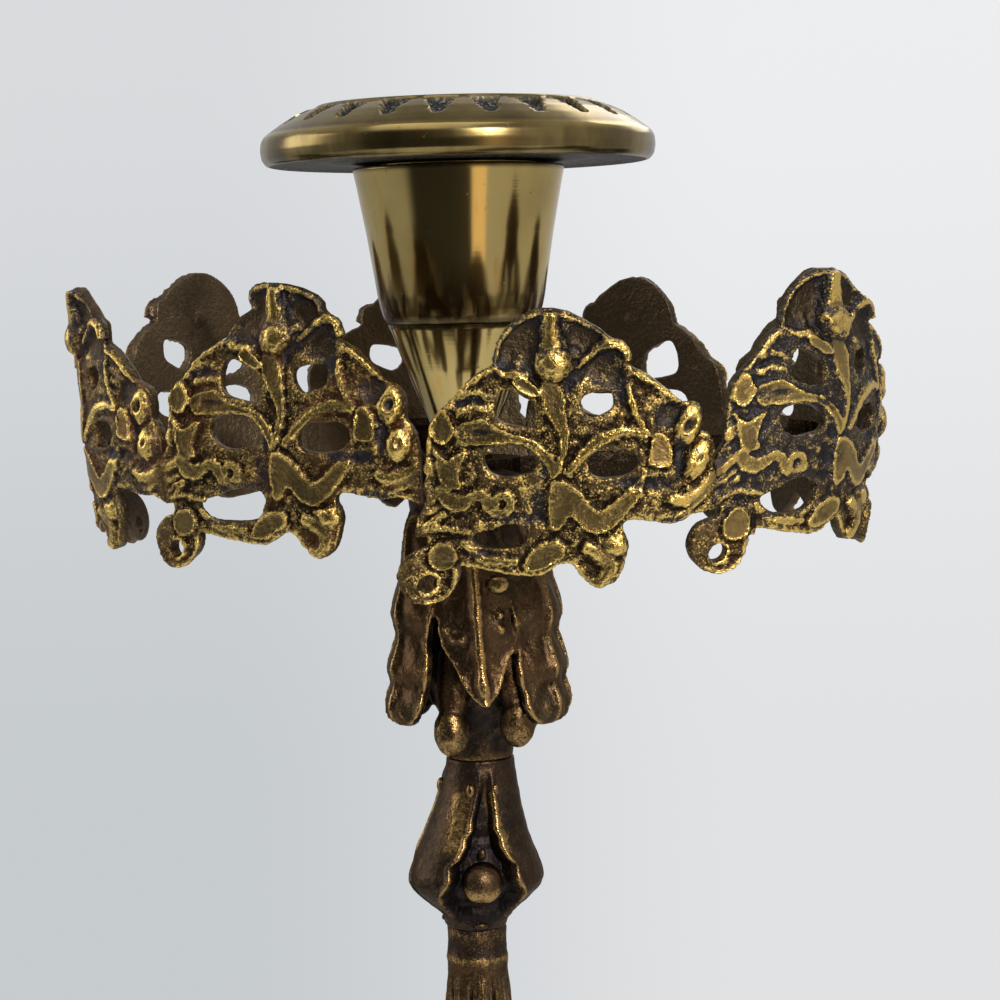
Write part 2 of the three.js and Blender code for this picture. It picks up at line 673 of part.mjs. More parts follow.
function cupCone() {
  const top = CUP_BASE;
  const body = turned([
    [0, CONE_BASE],
    [CONE_FOOT_RADIUS + 0.6, CONE_BASE],
    [CONE_FOOT_RADIUS, CONE_BASE + 1.2],
    [CONE_TOP_RADIUS, top - 0.8],
    [CONE_TOP_RADIUS, top],
    [0, top],
  ]);
  const screwHole = rod(SCREW_RADIUS + CLEARANCE, top - SCREW_LENGTH, top + 1, 12);
  return bored(body, CONE_BASE - 1, CONE_BASE + CONE_BORE_DEPTH).subtract(screwHole);
}

function candleCup() {
  const floor = CUP_BASE + CUP_FLOOR;
  return turned([
    [SCREW_RADIUS + CLEARANCE, CUP_BASE],
    [CONE_TOP_RADIUS, CUP_BASE],
    [CUP_FOOT_RADIUS - 0.5, CUP_BASE + 1.2],
    [CUP_FOOT_RADIUS, floor],
    [CUP_TOP_RADIUS, CUP_TOP - 2],
    [CUP_TOP_RADIUS + CUP_LIP, CUP_TOP - 1],
    [CUP_TOP_RADIUS + CUP_LIP, CUP_TOP],
    [CUP_MOUTH_RADIUS, CUP_TOP],
    [WELL_RADIUS, floor],
    [SCREW_RADIUS + CLEARANCE, floor],
    [SCREW_RADIUS + CLEARANCE, CUP_BASE],
  ]);
}

function cupScrew() {
  const seat = CUP_BASE + CUP_FLOOR;
  const shank = rod(SCREW_RADIUS, CUP_BASE - SCREW_LENGTH + CLEARANCE, seat + 0.5, 12);
  const head = rod(SCREW_HEAD_RADIUS, seat, seat + SCREW_HEAD_HEIGHT, 20);
  const slot = new THREE.BoxGeometry(2 * SCREW_HEAD_RADIUS + 1, 0.8, 1.2);
  slot.translate(0, 0, seat + SCREW_HEAD_HEIGHT);
  return shank.add(head).subtract(solid(slot));
}

// The nozzle's pan, hollow underneath round the tube that carries it.
function nozzlePan() {
  const bottom = PAN_BASE;
  const top = bottom + PAN_HEIGHT;
  return turned([
    [PAN_BORE, bottom],
    [PAN_RADIUS - 2, bottom],
    [PAN_RADIUS - 0.3, bottom + 0.5],
    [PAN_RADIUS, bottom + 2],
    [PAN_RADIUS - 0.2, bottom + 3.9],
    [PAN_RADIUS - 2.2, bottom + 5.7],
    [PAN_RADIUS - 5.2, bottom + 7.3],
    [PAN_BEAD_RADIUS + 0.8, top - 0.5],
    [PAN_BEAD_RADIUS + 0.4, top],
    [PAN_BEAD_RADIUS - 0.6, top],
    [PAN_BEAD_RADIUS - 2.4, top - 2.1],
    [PAN_BORE + TUBE_LIP + CLEARANCE, bottom + PAN_SEAT],
    [PAN_BORE, bottom + PAN_SEAT],
    [PAN_BORE, bottom],
  ]);
}

// The tube reaches down until the cup's tapered inside is one clearance away.
function nozzleTube() {
  const taper = (CUP_MOUTH_RADIUS - WELL_RADIUS) / (CUP_HEIGHT - CUP_FLOOR);
  const low = CUP_TOP - (CUP_MOUTH_RADIUS - TUBE_RADIUS - CLEARANCE) / taper;
  const lipBase = PAN_BASE + PAN_SEAT;
  const lipTop = lipBase + TUBE_WALL;
  return turned([
    [CANDLE_RADIUS, low],
    [TUBE_RADIUS, low],
    [TUBE_RADIUS, lipBase],
    [PAN_BORE + TUBE_LIP, lipBase],
    [PAN_BORE + TUBE_LIP, lipTop],
    [CANDLE_RADIUS, lipTop],
    [CANDLE_RADIUS, low],
  ]);
}

// Materials, by finish.

const marble = { color: 0xe6e2da, roughness: 0.35, metalness: 0 };
const iron = { color: 0x55504a, roughness: 0.6, metalness: 1 };
const castBrass = { color: 0x7d6233, roughness: 0.42, metalness: 1 };
const turnedBrass = { color: 0xa98b4c, roughness: 0.24, metalness: 1 };

const girandole = new THREE.Group();

function place(name, manifold, finish) {
  const mesh = new THREE.Mesh(geometryOf(manifold), new THREE.MeshStandardMaterial(finish));
  mesh.name = name;
  girandole.add(mesh);
}

place("marble_plinth", marblePlinth(), marble);
place("marble_step", marbleStep(), marble);
place("clamp_washer", clampWasher(), iron);
place("clamp_nut", clampNut(), iron);
place("tie_rod", tieRod(), iron);
place("foot_mount", footMount(), castBrass);
place("lower_vase", lowerVase(), castBrass);
place("stem_knop", stemKnop(), castBrass);
place("upper_shaft", upperShaft(), castBrass);
place("baluster", baluster(), castBrass);
place("leaf_calyx", leafCalyx(), castBrass);
place("gallery_spider", gallerySpider(), castBrass);
PANEL_MIDDLES.forEach((_, i) => place(`gallery_panel_${i + 1}`, bentPanel(i), castBrass));
place("cup_cone", cupCone(), turnedBrass);
place("candle_cup", candleCup(), turnedBrass);
place("cup_screw", cupScrew(), turnedBrass);
place("nozzle_pan", nozzlePan(), turnedBrass);
place("nozzle_tube", nozzleTube(), turnedBrass);

export default girandole;
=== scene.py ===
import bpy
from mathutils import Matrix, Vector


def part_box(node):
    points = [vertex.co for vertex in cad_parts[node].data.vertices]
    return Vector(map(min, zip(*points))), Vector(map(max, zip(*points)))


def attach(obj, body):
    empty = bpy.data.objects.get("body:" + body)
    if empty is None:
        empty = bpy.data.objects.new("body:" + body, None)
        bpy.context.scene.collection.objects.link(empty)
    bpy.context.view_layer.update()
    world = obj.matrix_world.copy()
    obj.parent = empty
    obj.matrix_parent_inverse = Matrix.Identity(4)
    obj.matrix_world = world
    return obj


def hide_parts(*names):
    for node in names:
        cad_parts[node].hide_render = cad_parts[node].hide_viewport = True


bl_info = {
    "name": "Girandole",
    "version": (1, 0, 0),
    "blender": (4, 5, 0),
    "location": "View3D > Sidebar > Girandole",
    "description": "Dresses the packed girandole in brass and marble, with a studio and a camera",
    "category": "Object",
}

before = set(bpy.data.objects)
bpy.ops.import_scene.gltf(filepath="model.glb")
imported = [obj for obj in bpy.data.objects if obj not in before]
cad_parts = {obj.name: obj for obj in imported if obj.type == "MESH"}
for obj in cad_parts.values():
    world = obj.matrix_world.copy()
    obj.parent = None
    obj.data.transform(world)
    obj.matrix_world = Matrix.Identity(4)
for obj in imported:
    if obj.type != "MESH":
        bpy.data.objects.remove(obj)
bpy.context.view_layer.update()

import math

import bpy
import numpy as np
from mathutils import Matrix, Vector, noise

TAU = 2 * math.pi
METRES = 0.001  # pieces are modelled in millimetres and scaled by this when they are finished
CLEARANCE = 0.3  # left by the CAD between pieces that touch


def level(node, end):
    """Height of a CAD node's underside (end 0) or top (end 1), in millimetres."""
    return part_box(node)[end].z / METRES


# The gallery's plan, as in the CAD: the middle of each panel, then the joint at its right end, from the axis.
PANEL_MIDDLES = [
    (12.3, -35.6), (50.2, -26.8), (51.6, 9.4), (27.6, 40.2), (-7.8, 46.4), (-41.5, 30.5), (-53.6, -4),
    (-25.1, -26.2),
]
PANEL_JOINTS = [
    (31.2, -35.2), (57.7, -10.5), (42, 26.8), (9.8, 46.4), (-26, 41.6), (-51.6, 14.8), (-42.3, -18),
    (-7.1, -32.4),
]
PANELS = len(PANEL_MIDDLES)
PANEL_RISES = [-3.5, 0.9, 1.1, 0.4, 0.8, 2.6, 0.6, 0.5]
PANEL_LEANS = [2.7, 0.8, 2, -4.8, 3, 2.7, 2, -1.9]  # degrees outwards
PANEL_TURNS = [1.5, 0.5, 0, 0.3, -0.9, -0.5, 2.6, 2.2]  # degrees down to the right
PANEL_TONES = [0.1, 0.2, 0.6, 0.8, 0.9, 0.8, 0.9, 0.6]  # 0 is gilt, 1 is red brown
PANEL_TARNISH = [0, 0.75, 0.4, 0.3, 0.3, 0.3, 0.2, 0]
PANEL_REARS = [0.2, 0, 0, 0, 0.4, 0.9, 0.4, 0.2]  # painted light: how much brighter the plain back is drawn, as a lit copy of its colour
DROP_LEAN = 7.8  # degrees outwards, of the part under the necks
LEAN_CHANGE = (-1.5, 1.5)  # heights between which a panel's lean passes into that one
PANEL_SWAY = 1.8  # degrees to the right
PANEL_LEFT = 18.2  # from a panel's middle to its ends
PANEL_RIGHT = 20.2
PANEL_THICKNESS = 1.7
GALLERY_LEVEL = 3.1  # the panels' zero line over the cone's foot
NECK_TOP = -1.2  # edges of the necks between the panels
NECK_FOOT = -7.8
NECK_SHARES = (0.36, 0.64)  # where one panel's rise passes into the next one's, of the way between them
PANEL_CENTRE = 1  # between a panel's ends
NECK_OVERLAP = 0.35  # how far a panel's neck runs on into the next one's
LAP_FRONT = 1.0  # the strip's left end stands this far out over its right end
LAP_BACK = 0.7  # and the right end this far in
LAP_SHARES = (0.4, 0.5)  # where that step begins and ends, of the way between two panels

# One panel's edge from the upper left round to the lower left, from its middle.
EDGE_TOP = [
    (-17, 0.5), (-17, 3.5), (-16.6, 6.6), (-16.3, 7.8), (-15.5, 8.6), (-14.6, 9.1), (-13.8, 10),
    (-13.1, 10.6), (-12, 12.2), (-10.4, 13.5), (-9.2, 14.2), (-8.4, 14.6), (-8.2, 15.8), (-8, 16.9),
    (-7.5, 18.2), (-6.8, 19.3), (-5.9, 20.3), (-4.8, 21.1), (-3.7, 21.7), (-2.6, 22.1), (-0.6, 22.2),
    (1.4, 21.8), (3.2, 20.9), (4.3, 20.2), (5.4, 19.6), (7, 18.1), (8, 17.8), (8.6, 17.3), (8.8, 16.2),
    (8.9, 14.9), (9.8, 14.4), (10.8, 14), (11.8, 13.4), (12.8, 12.6), (14.6, 11.1), (15.4, 9.7), (16.4, 9.2),
    (17.6, 8.5), (18.4, 7.2), (18.6, 5.6), (18.5, 4), (19.3, 3.2), (20, 2), (20.3, 0.8), (20.5, -0.4),
]
EDGE_FOOT = [
    (17.7, -6.5), (15.7, -6.4), (13.7, -6.1), (11.9, -5.8), (10.1, -5.6), (9.2, -5.8), (8.7, -6.3), (8.6, -7),
    (9.2, -8.1), (9.5, -9.2), (9.2, -10.5), (8.8, -12.1), (8.3, -13.2), (7.7, -14), (6.8, -14.6), (5.4, -15),
    (4.3, -14.1), (3.2, -13.2), (2.7, -12.4), (2.3, -11.7), (1.4, -11.4), (0.3, -11.9), (-0.8, -12.7),
    (-1.9, -13.3), (-3.3, -13.5), (-4.6, -13.3), (-6.6, -13.1), (-8.6, -12.8), (-10.4, -12.4), (-13.5, -12.2),
]
HOLES = {
    "upper_left": [
        (-7.7, 10.9), (-7, 11.6), (-5.9, 11.4), (-4.1, 10.6), (-2.7, 9.6), (-2.5, 6.6), (-3.7, 6.4),
        (-5.9, 6.8), (-7.7, 7.3), (-8, 9.1),
    ],
    "upper_right": [
        (3, 10.4), (3.7, 11), (6.6, 11.5), (7.2, 10.9), (7.3, 9.1), (5.9, 8.3), (4.3, 7.6), (3.2, 8.9),
    ],
    "lower_left": [
        (-9.6, 2.8), (-8.6, 3.9), (-6.4, 4.3), (-4.1, 3.9), (-2.8, 3.1), (-2.4, 1.7), (-2.6, 0.6),
        (-4.6, 0.2), (-6.6, -0.2), (-8.2, 0.2), (-9.1, 1),
    ],
    "lower_right": [
        (4.1, 2.8), (4.8, 3.7), (7, 3.5), (8.8, 3.9), (10.3, 3.1), (10.6, 1.7), (9.7, 0.6), (8.1, 0),
        (5.2, -0.1), (4.1, 0.8),
    ],
    "foot": [
        (-11.4, -8.1), (-10.2, -7.6), (-8.6, -7.2), (-6.8, -6.4), (-4.6, -6.3), (-3.3, -7), (-3.5, -8.1),
        (-4.1, -9.2), (-5.9, -9.7), (-10.4, -9.7),
    ],
}
# Flat leaves with a raised rim: height over the ground, then the outline.
LEAVES = {
    "branch": (0.6, [
        (-13.2, 5.3), (-13.1, 6.4), (-11.7, 7.1), (-9.9, 7.6), (-9.1, 7.5), (-7.7, 6.4), (-5.9, 5.6),
        (-3, 5.1), (-1.2, 3.7), (-0.1, 2.2), (0.3, 1), (0, 0), (-0.5, -0.1), (-1, 1.3), (-1.9, 2.6),
        (-3, 3.7), (-4.4, 4.4), (-6.4, 4.6), (-9.5, 4.3), (-11.3, 4.2), (-12.4, 4.1),
    ]),
    "oval": (0.95, [
        (-14.6, 8.9), (-15.6, 8.2), (-16.5, 6.8), (-16.4, 5.6), (-15.6, 4.5), (-14.4, 4.1), (-13.6, 5.1),
        (-13.3, 6.4), (-13.7, 7.7),
    ]),
    "forked": (0.65, [
        (-16.1, 3.8), (-15.3, 2.9), (-14.2, 1.8), (-13.1, 2.7), (-11.5, 3.5), (-12.1, 2.2), (-12.6, 0.8),
        (-12.8, -0.1), (-12.5, -0.7), (-12.2, -1.4), (-13.5, -1.7), (-14.6, -1.4), (-15.3, -0.1),
        (-15.5, 1.9),
    ]),
    "lobed": (0.65, [
        (-0.6, -1.4), (-0.4, -0.5), (1.2, -0.4), (3.2, -1.7), (4.3, -3.3), (5.2, -4.4), (5.9, -4.4),
        (7.7, -3), (9.7, -1), (11.5, 0.6), (11.1, -1.4), (10.3, -3.1), (9.2, -4.5), (8.1, -5.9), (7, -6.8),
        (5.7, -7.4), (4.5, -7.2), (3.2, -6.3), (2.1, -4.7), (1.5, -5.6), (0.8, -6.8), (-0.5, -6.8),
        (-0.8, -4.7), (-0.8, -2.7),
    ]),
    "tear": (0.65, [
        (11.6, 1.9), (12, 3.4), (12, 5.2), (12.6, 6.1), (13.5, 5.9), (14.2, 4.8), (14.6, 3.2), (14.6, 1.7),
        (13.8, 1.4), (12.6, 1.5),
    ]),
    "leaflet": (0.8, [
        (-5.6, 12.6), (-5, 13.2), (-3.9, 13), (-2.6, 12.1), (-2, 11.1), (-2.3, 10.5), (-3.3, 10.7),
        (-4.6, 11.4), (-5.4, 12),
    ]),
    "foot_leaf": (0.65, [
        (-4.3, -12.3), (-3.8, -11), (-2.8, -9.5), (-1.2, -8.6), (0.5, -8.5), (1.6, -9.4), (1.2, -10.5),
        (-0.6, -11.7), (-2.4, -12.6),
    ]),
    "blade": (0.45, [
        (-18, -7), (-17.5, -6.1), (-16.2, -5.3), (-14.6, -4.7), (-14.9, -5.6), (-16, -6.4), (-17.3, -7),
    ]),
}
# Flat-topped ribbons: height, widths at even steps, and the line they follow.
RIBBONS = {
    "scroll": (0.6, [0.5, 1.7, 2.3, 2.1, 1.7, 1.2, 1.2, 1.5, 1.5, 1.4, 1.3, 1.1, 0.9, 0.9, 0.8, 0.8], [
        (-15, -1.4), (-14.6, -2.6), (-13.7, -3.5), (-12.4, -3.6), (-11.1, -2.9), (-9.8, -2.2), (-9.1, -2.9),
        (-8.6, -3.9), (-7.7, -4.9), (-6.6, -4.9), (-5.8, -4.1), (-5.8, -3), (-6.5, -2.4), (-7.4, -2.5),
        (-7.9, -3.2), (-7.5, -3.9),
    ]),
    "stem": (0.6, [1.6, 2.6, 2.8, 2.2, 1.5, 1, 0.8, 0.7, 0.5], [
        (-1, 12.8), (-0.7, 11.6), (-0.3, 10.2), (0.1, 8.6), (0.7, 7), (1.1, 5.6), (1.2, 4.2), (0.8, 2.4),
        (0.3, 0.6),
    ]),
}
# Rounded ribs: height, widths at even steps, and the line they follow.
RIBS = {
    "right_branch": (0.55, [0.8, 1.4, 1.7, 1.8, 1.8, 1.6, 1], [
        (1.6, 0.5), (2.5, 1.7), (3.4, 2.8), (4.8, 4.5), (7, 5.7), (9.2, 6.3), (11.5, 5.6),
    ]),
    "arc": (0.55, [0.6, 0.9, 1, 1, 0.7], [(9.1, 12.2), (9.3, 10.6), (9.8, 8.9), (10.6, 7.2), (11.7, 5.7)]),
    "curl": (0.95, [0.8, 1.3, 1.5, 1.6, 1.6, 1.4, 1.1], [
        (2.7, 14.3), (3.4, 15.2), (4.7, 16.5), (5.9, 17.4), (7.2, 17.7), (8.5, 17), (9, 15.3),
    ]),
    "bud": (1.4, [4.6, 5, 4.2, 3.2, 2.6, 2], [
        (-0.2, 14.1), (-0.3, 15.3), (-0.5, 17.1), (-0.7, 18.9), (-0.8, 20.4), (-0.7, 21.7),
    ]),
    "low": (0.45, [0.8, 1.1, 1.1, 0.7], [(-18, -7), (-15.7, -6.9), (-13.5, -7.2), (-11.3, -7.6)]),
    "foot": (0.45, [0.9, 1.5, 1.6, 1], [(-12.4, -8.8), (-10.8, -10.5), (-8.2, -11.5), (-5, -11.4)]),
    "rope": (0.6, [1, 2, 2.4, 2.2, 1.8], [
        (14.6, -2.6), (16.2, -3.7), (17.9, -3.9), (19.3, -3.2), (20.5, -2.6),
    ]),
    "rope_low": (0.4, [0.6, 1, 1, 1], [(15.4, -5.4), (17.2, -5.6), (19, -4.9), (20.5, -4.4)]),
    "rope_left": (0.5, [1.8, 2, 1.8, 1], [(-18.4, -2.6), (-17.4, -2.9), (-16, -2.4), (-14.6, -1.2)]),
    "rope_left_low": (0.4, [1, 1, 0.8], [(-18.4, -4.4), (-17, -4.6), (-15.4, -4)]),
    "drop": (0.75, [1.6, 2.4, 2.6, 2.3, 1.4], [
        (3.7, -9.2), (5.4, -10.1), (7.2, -11.4), (6.8, -13), (5.6, -14.3),
    ]),
    "fan_fold": (0.5, [0.8, 1.1, 1], [(5.6, -8.4), (7.2, -8.2), (8.6, -7.8)]),
    "shoulder": (0.4, [0.8, 0.9, 0.8], [(-12.8, 10.2), (-10.6, 11.2), (-8.4, 10.2)]),
    "shoulder_low": (0.4, [0.8, 1, 0.7], [(-12.6, 8.6), (-10.8, 9.4), (-8.8, 8.8)]),
    "leaf_fold": (0.3, [0.4, 0.4, 0.4], [(1.4, -2.4), (1.8, -3.6), (1.6, -5.4)]),
    "right_edge": (0.45, [0.7, 0.8, 0.8, 0.7], [(9.4, 13.9), (12, 12.6), (14.2, 10.8), (15.6, 9.5)]),
    "left_edge": (0.4, [0.6, 0.7, 0.7, 0.6], [(-14, 9.3), (-12.2, 11.4), (-10.4, 12.9), (-8.6, 14)]),
    "cap_edge": (0.5, [0.5, 0.7, 0.7, 0.7, 0.7, 0.7, 0.5], [
        (-7.9, 15), (-7.3, 17.8), (-5.4, 20.1), (-2.5, 21.6), (1.2, 21.3), (4.6, 19.5), (7.4, 17.6),
    ]),
    "cap_foot": (0.55, [0.8, 1.1, 1.3, 1], [(-8, 14.4), (-7, 13.6), (-5.4, 13.4), (-3.4, 13.5)]),
    "ring": (0.35, [0.5] * 7, [
        (-15.6, -14.3), (-16.2, -12.9), (-17.6, -12.6), (-18.9, -13.7), (-18.6, -15.4), (-17.2, -16.1),
        (-15.9, -15.3),
    ]),
    "lobe_edge": (0.35, [0.6] * 6, [
        (-13.6, -12.4), (-13.4, -14.6), (-14.8, -16.6), (-17.2, -17), (-19.6, -16.2), (-20.7, -14),
    ]),
}
# Eggs: middle, half sizes, height over the ground.
EGGS = {
    "bulb": ((-0.3, 15.1), (2.6, 2.7), 2.0),
    "bump": ((2.3, 16.5), (0.8, 0.9), 0.8),
    "ball_upper": ((16.6, 6), (1.8, 2.7), 1.15),
    "ball_lower": ((18, 0.7), (1.8, 2.4), 1.1),
    "fan": ((7.6, -9.1), (1.7, 1.5), 1.0),
    "drop_tip": ((5.5, -13.9), (1.2, 0.9), 0.7),
    "knuckle": ((-16.5, 1.2), (0.9, 1.1), 0.45),
    "bead": ((-13.4, -3.9), (0.7, 0.6), 0.5),
}
# Rimmed discs: middle, radius, height.
DISCS = {"upper_disc": ((-15, -10.8), 1.95, 0.8), "lower_disc": ((-19, -12.7), 1.8, 0.55)}
# Raised rims: width, and how far the middle lies below them.
LEAF_RIM = (0.32, 0.22)
RIBBON_RIM = (0.2, 0.15)
DISC_RIM = (0.28, 0.3)
# Sunk places: middle, half sizes, depth, and how dark they are with old tarnish.
HOLLOWS = [
    ((-4.8, 18.2), (2.9, 3.2), 0.8, 1), ((3.4, 18.3), (2.3, 2.4), 0.75, 1),
    ((5.9, 14.3), (2.5, 2.3), 0.85, 1), ((14.2, 8.3), (2.0, 1.7), 0.6, 1),
    ((-7, 15.4), (1.6, 1.8), 0.45, 0.9), ((7.9, 11.8), (1.2, 2.4), 0.35, 0.9),
    ((15.6, 2.8), (0.8, 3.2), 0.4, 0.8), ((9.5, -0.6), (2.4, 0.8), 0.35, 0.8),
    ((-11.4, 9.9), (2.4, 1.1), 0.35, 0.6), ((-5, -5.6), (4.4, 0.9), 0.3, 0.7),
    ((-1.4, 0.5), (0.6, 1.0), 0.3, 0.9), ((16.6, 6.1), (0.65, 0.85), 0.95, 1),
    ((18, 0.8), (0.35, 0.4), 0.4, 0.6), ((-3.6, 14.6), (0.8, 1.8), 0.35, 0.8),
    ((3.0, 14.0), (0.7, 1.6), 0.35, 0.8), ((13.4, -5.9), (4.4, 0.7), 0.3, 0.9),
    ((-10, -10.4), (2.0, 0.6), 0.25, 0.6), ((-2.2, -3.2), (1.0, 2.4), 0.3, 0.7),
    ((1.8, 12.6), (0.9, 1.6), 0.35, 0.8), ((12.8, -0.6), (2.2, 0.9), 0.3, 0.6),
    ((-9.4, 5.9), (1.6, 0.4), 0.2, 0.5),
]
# The eye for a drop, in its round lobe.
EYE = (-17.2, -14.3)
EYE_RADIUS = 1.25
LOBE = (-17.1, -13.1)
LOBE_SIZES = (4.2, 3.7)
LOBE_TOP = -10.5
LOBE_RIGHT = -12
# How each panel differs: how far its cap leans along, and the sizes of its upper, middle and foot holes.
CAP_SHIFTS = [0, -1.5, 0, 0, 0, 0, 0, 0.7]
HOLE_SIZES = [
    ((1, 1), (1, 1), (1, 1)), ((1, 1), (1, 1), (1.1, 1.45)), ((1.1, 1.1), (1, 1), (1, 1.2)),
    ((1.3, 1.2), (1.1, 1), (1.1, 1.2)), ((1.35, 1.2), (1.1, 1.1), (1.1, 1.2)),
    ((1.45, 1.3), (1.1, 1.1), (1.1, 1.2)), ((0.7, 1), (0.8, 1), (1, 1)),
    ((1.2, 1.15), (1.2, 1.12), (1.42, 1.45)),
]
# The eighth panel's cap is bent, and its edge has a notch.
BENT_CAP = [
    (-8.4, 14.6), (-7.7, 16.2), (-6.6, 17.6), (-5, 18.5), (-4.5, 19.1), (-5.3, 20), (-5.2, 21.1), (-4, 22),
    (-2, 22.3), (0.4, 22.2), (2.8, 21.7), (5, 20.8), (6, 19.9), (6.2, 18.9), (7.2, 18), (8.3, 16.6),
    (8.9, 14.9),
]


# Sizes and colours that a user may change.


def colour_property(name, text, value):
    return bpy.props.FloatVectorProperty(
        name=name, description=text, default=value, subtype="COLOR", size=3, min=0, max=1
    )


class GirandoleSizes(bpy.types.PropertyGroup):
    gallery_grain: bpy.props.FloatProperty(
        name="Gallery mesh", description="Size of the gallery's faces, in millimetres",
        default=0.25, min=0.15, max=1,
    )
    calyx_grain: bpy.props.FloatProperty(
        name="Calyx mesh", description="Size of the calyx's faces, in millimetres",
        default=0.33, min=0.2, max=1,
    )
    sand: bpy.props.FloatProperty(
        name="Sand texture", description="How rough the castings' ground is, in millimetres",
        default=0.16, min=0, max=1,
    )
    notches: bpy.props.IntProperty(
        name="Notches", description="Cuts round the nozzle's pan", default=22, min=6, max=40
    )
    notch_depth: bpy.props.FloatProperty(
        name="Notch depth", description="Depth of the pan's cuts, in millimetres", default=0.95, min=0, max=2
    )


class GirandoleColours(bpy.types.PropertyGroup):
    gold: colour_property("Gold", "Rubbed high parts of the gallery", (0.82, 0.56, 0.155))
    olive: colour_property("Olive", "Plain leaves of the gallery", (0.33, 0.225, 0.085))
    sand: colour_property("Sand", "Ground of the gallery", (0.11, 0.073, 0.033))
    # Bronze is also the colour of the painted highlights, glints and reflection on the baluster.
    bronze: colour_property("Bronze", "Rubbed high parts of the stem", (0.43, 0.265, 0.095))
    stem: colour_property("Stem", "Stem castings", (0.084, 0.056, 0.03))
    shadow: colour_property("Shadow", "Low parts of the castings", (0.02, 0.013, 0.008))
    red_brown: colour_property("Red brown", "Old lacquer on the castings", (0.11, 0.045, 0.018))
    tarnish: colour_property("Tarnish", "Blue-black tarnish in the gallery's hollows", (0.03, 0.029, 0.034))
    soot: colour_property("Soot", "Black of the stem's hollows", (0.009, 0.008, 0.01))
    rear: colour_property("Rear", "Plain backs of the gallery's panels", (0.06, 0.042, 0.024))
    polished: colour_property("Polished", "Turned brass", (0.56, 0.41, 0.15))
    # Grime also paints the shade on the cup's top under the pan.
    grime: colour_property("Grime", "Dull film on the turned brass", (0.085, 0.06, 0.026))
    marble: colour_property("Marble", "Base", (0.78, 0.75, 0.7))
    vein: colour_property("Vein", "Veins of the base", (0.33, 0.32, 0.31))
    iron: colour_property("Iron", "Rod, washer and nut", (0.1, 0.09, 0.08))
    backdrop: colour_property("Backdrop", "Floor and background", (0.73, 0.76, 0.79))


# Shader nodes.

PIT_BLACK = (0.018, 0.017, 0.015)  # the floor of the pan's cuts, and the painted shade on its underside
PIT_GREY = (0.25, 0.24, 0.22)  # scratches in them, and on that painted shade
RUST = (0.13, 0.05, 0.02)


class Signal:
    """A number socket that takes part in sums."""

    def __init__(self, paint, socket):
        self.paint = paint
        self.socket = socket

    def sum(self, operation, first, second):
        return self.paint.add("ShaderNodeMath", {"operation": operation}, {0: first, 1: second})

    def __add__(self, other):
        return self.sum("ADD", self, other)

    def __radd__(self, other):
        return self.sum("ADD", other, self)

    def __sub__(self, other):
        return self.sum("SUBTRACT", self, other)

    def __rsub__(self, other):
        return self.sum("SUBTRACT", other, self)

    def __mul__(self, other):
        return self.sum("MULTIPLY", self, other)

    def __rmul__(self, other):
        return self.sum("MULTIPLY", other, self)

    def step(self, low, high):
        """Eases from 0 at low to 1 at high."""
        sockets = {"Value": self, "From Min": low, "From Max": high}
        return self.paint.add("ShaderNodeMapRange", {"interpolation_type": "SMOOTHSTEP"}, sockets)


class Paint:
    """A node tree that is filled one node at a time."""

    def __init__(self, tree):
        self.tree = tree

    def add(self, kind, settings=None, sockets=None, out=0):
        """Output of a new node. Its settings come first, then the values or links of its sockets."""
        node = self.tree.nodes.new(kind)
        for key, value in (settings or {}).items():
            setattr(node, key, value)
        for key, value in (sockets or {}).items():
            if isinstance(value, Signal):
                self.tree.links.new(value.socket, node.inputs[key])
            else:
                node.inputs[key].default_value = value
        return Signal(self, node.outputs[out])

    def place(self):
        return self.add("ShaderNodeTexCoord", out="Object")

    def noise(self, place, scale, detail=2.0, rough=0.5):
        sockets = {"Vector": place, "Scale": scale, "Detail": detail, "Roughness": rough}
        return self.add("ShaderNodeTexNoise", None, sockets)

    def stretched(self, place, x, y, z):
        return self.add("ShaderNodeMapping", None, {"Vector": place, "Scale": (x, y, z)})

    def attribute(self, name):
        return self.add("ShaderNodeAttribute", {"attribute_name": name}, out="Fac")

    def mix(self, share, first, second):
        """A colour between two, first at share 0."""
        sockets = {0: share, 6: self.opaque(first), 7: self.opaque(second)}
        return self.add("ShaderNodeMix", {"data_type": "RGBA"}, sockets, out=2)

    def opaque(self, colour):
        return colour if isinstance(colour, Signal) else (*colour, 1)

    def bump(self, height, strength, distance):
        sockets = {"Height": height, "Strength": strength, "Distance": distance}
        return self.add("ShaderNodeBump", None, sockets)

    def surface(self, sockets):
        return self.add("ShaderNodeBsdfPrincipled", None, sockets)


def painted(holder, output, recipe):
    """Gives a material or a world the shader that a recipe makes from the user's colours."""
    holder.use_nodes = True
    tree = holder.node_tree
    tree.nodes.clear()
    shader = recipe(Paint(tree), bpy.context.scene.girandole_colours)
    tree.links.new(shader.socket, tree.nodes.new(output).inputs["Surface"])


MATERIALS = {}


def new_material(name, recipe):
    """A material from its recipe, made once."""
    if name not in MATERIALS:
        MATERIALS[name] = bpy.data.materials.new(name)
        painted(MATERIALS[name], "ShaderNodeOutputMaterial", recipe)
    return MATERIALS[name]


# Each casting's colours: rubbed parts and painted highlights, plain leaves, sandy ground, back, hollows. Then
# its sheen's strength.
CASTINGS = {
    "gallery_brass": ("gold", "olive", "sand", "rear", "tarnish", 0.95),
    "stem_brass": ("bronze", "stem", "stem", "stem", "soot", 0.6),
    "spider_brass": ("stem", "stem", "shadow", "stem", "soot", 0.4),
}


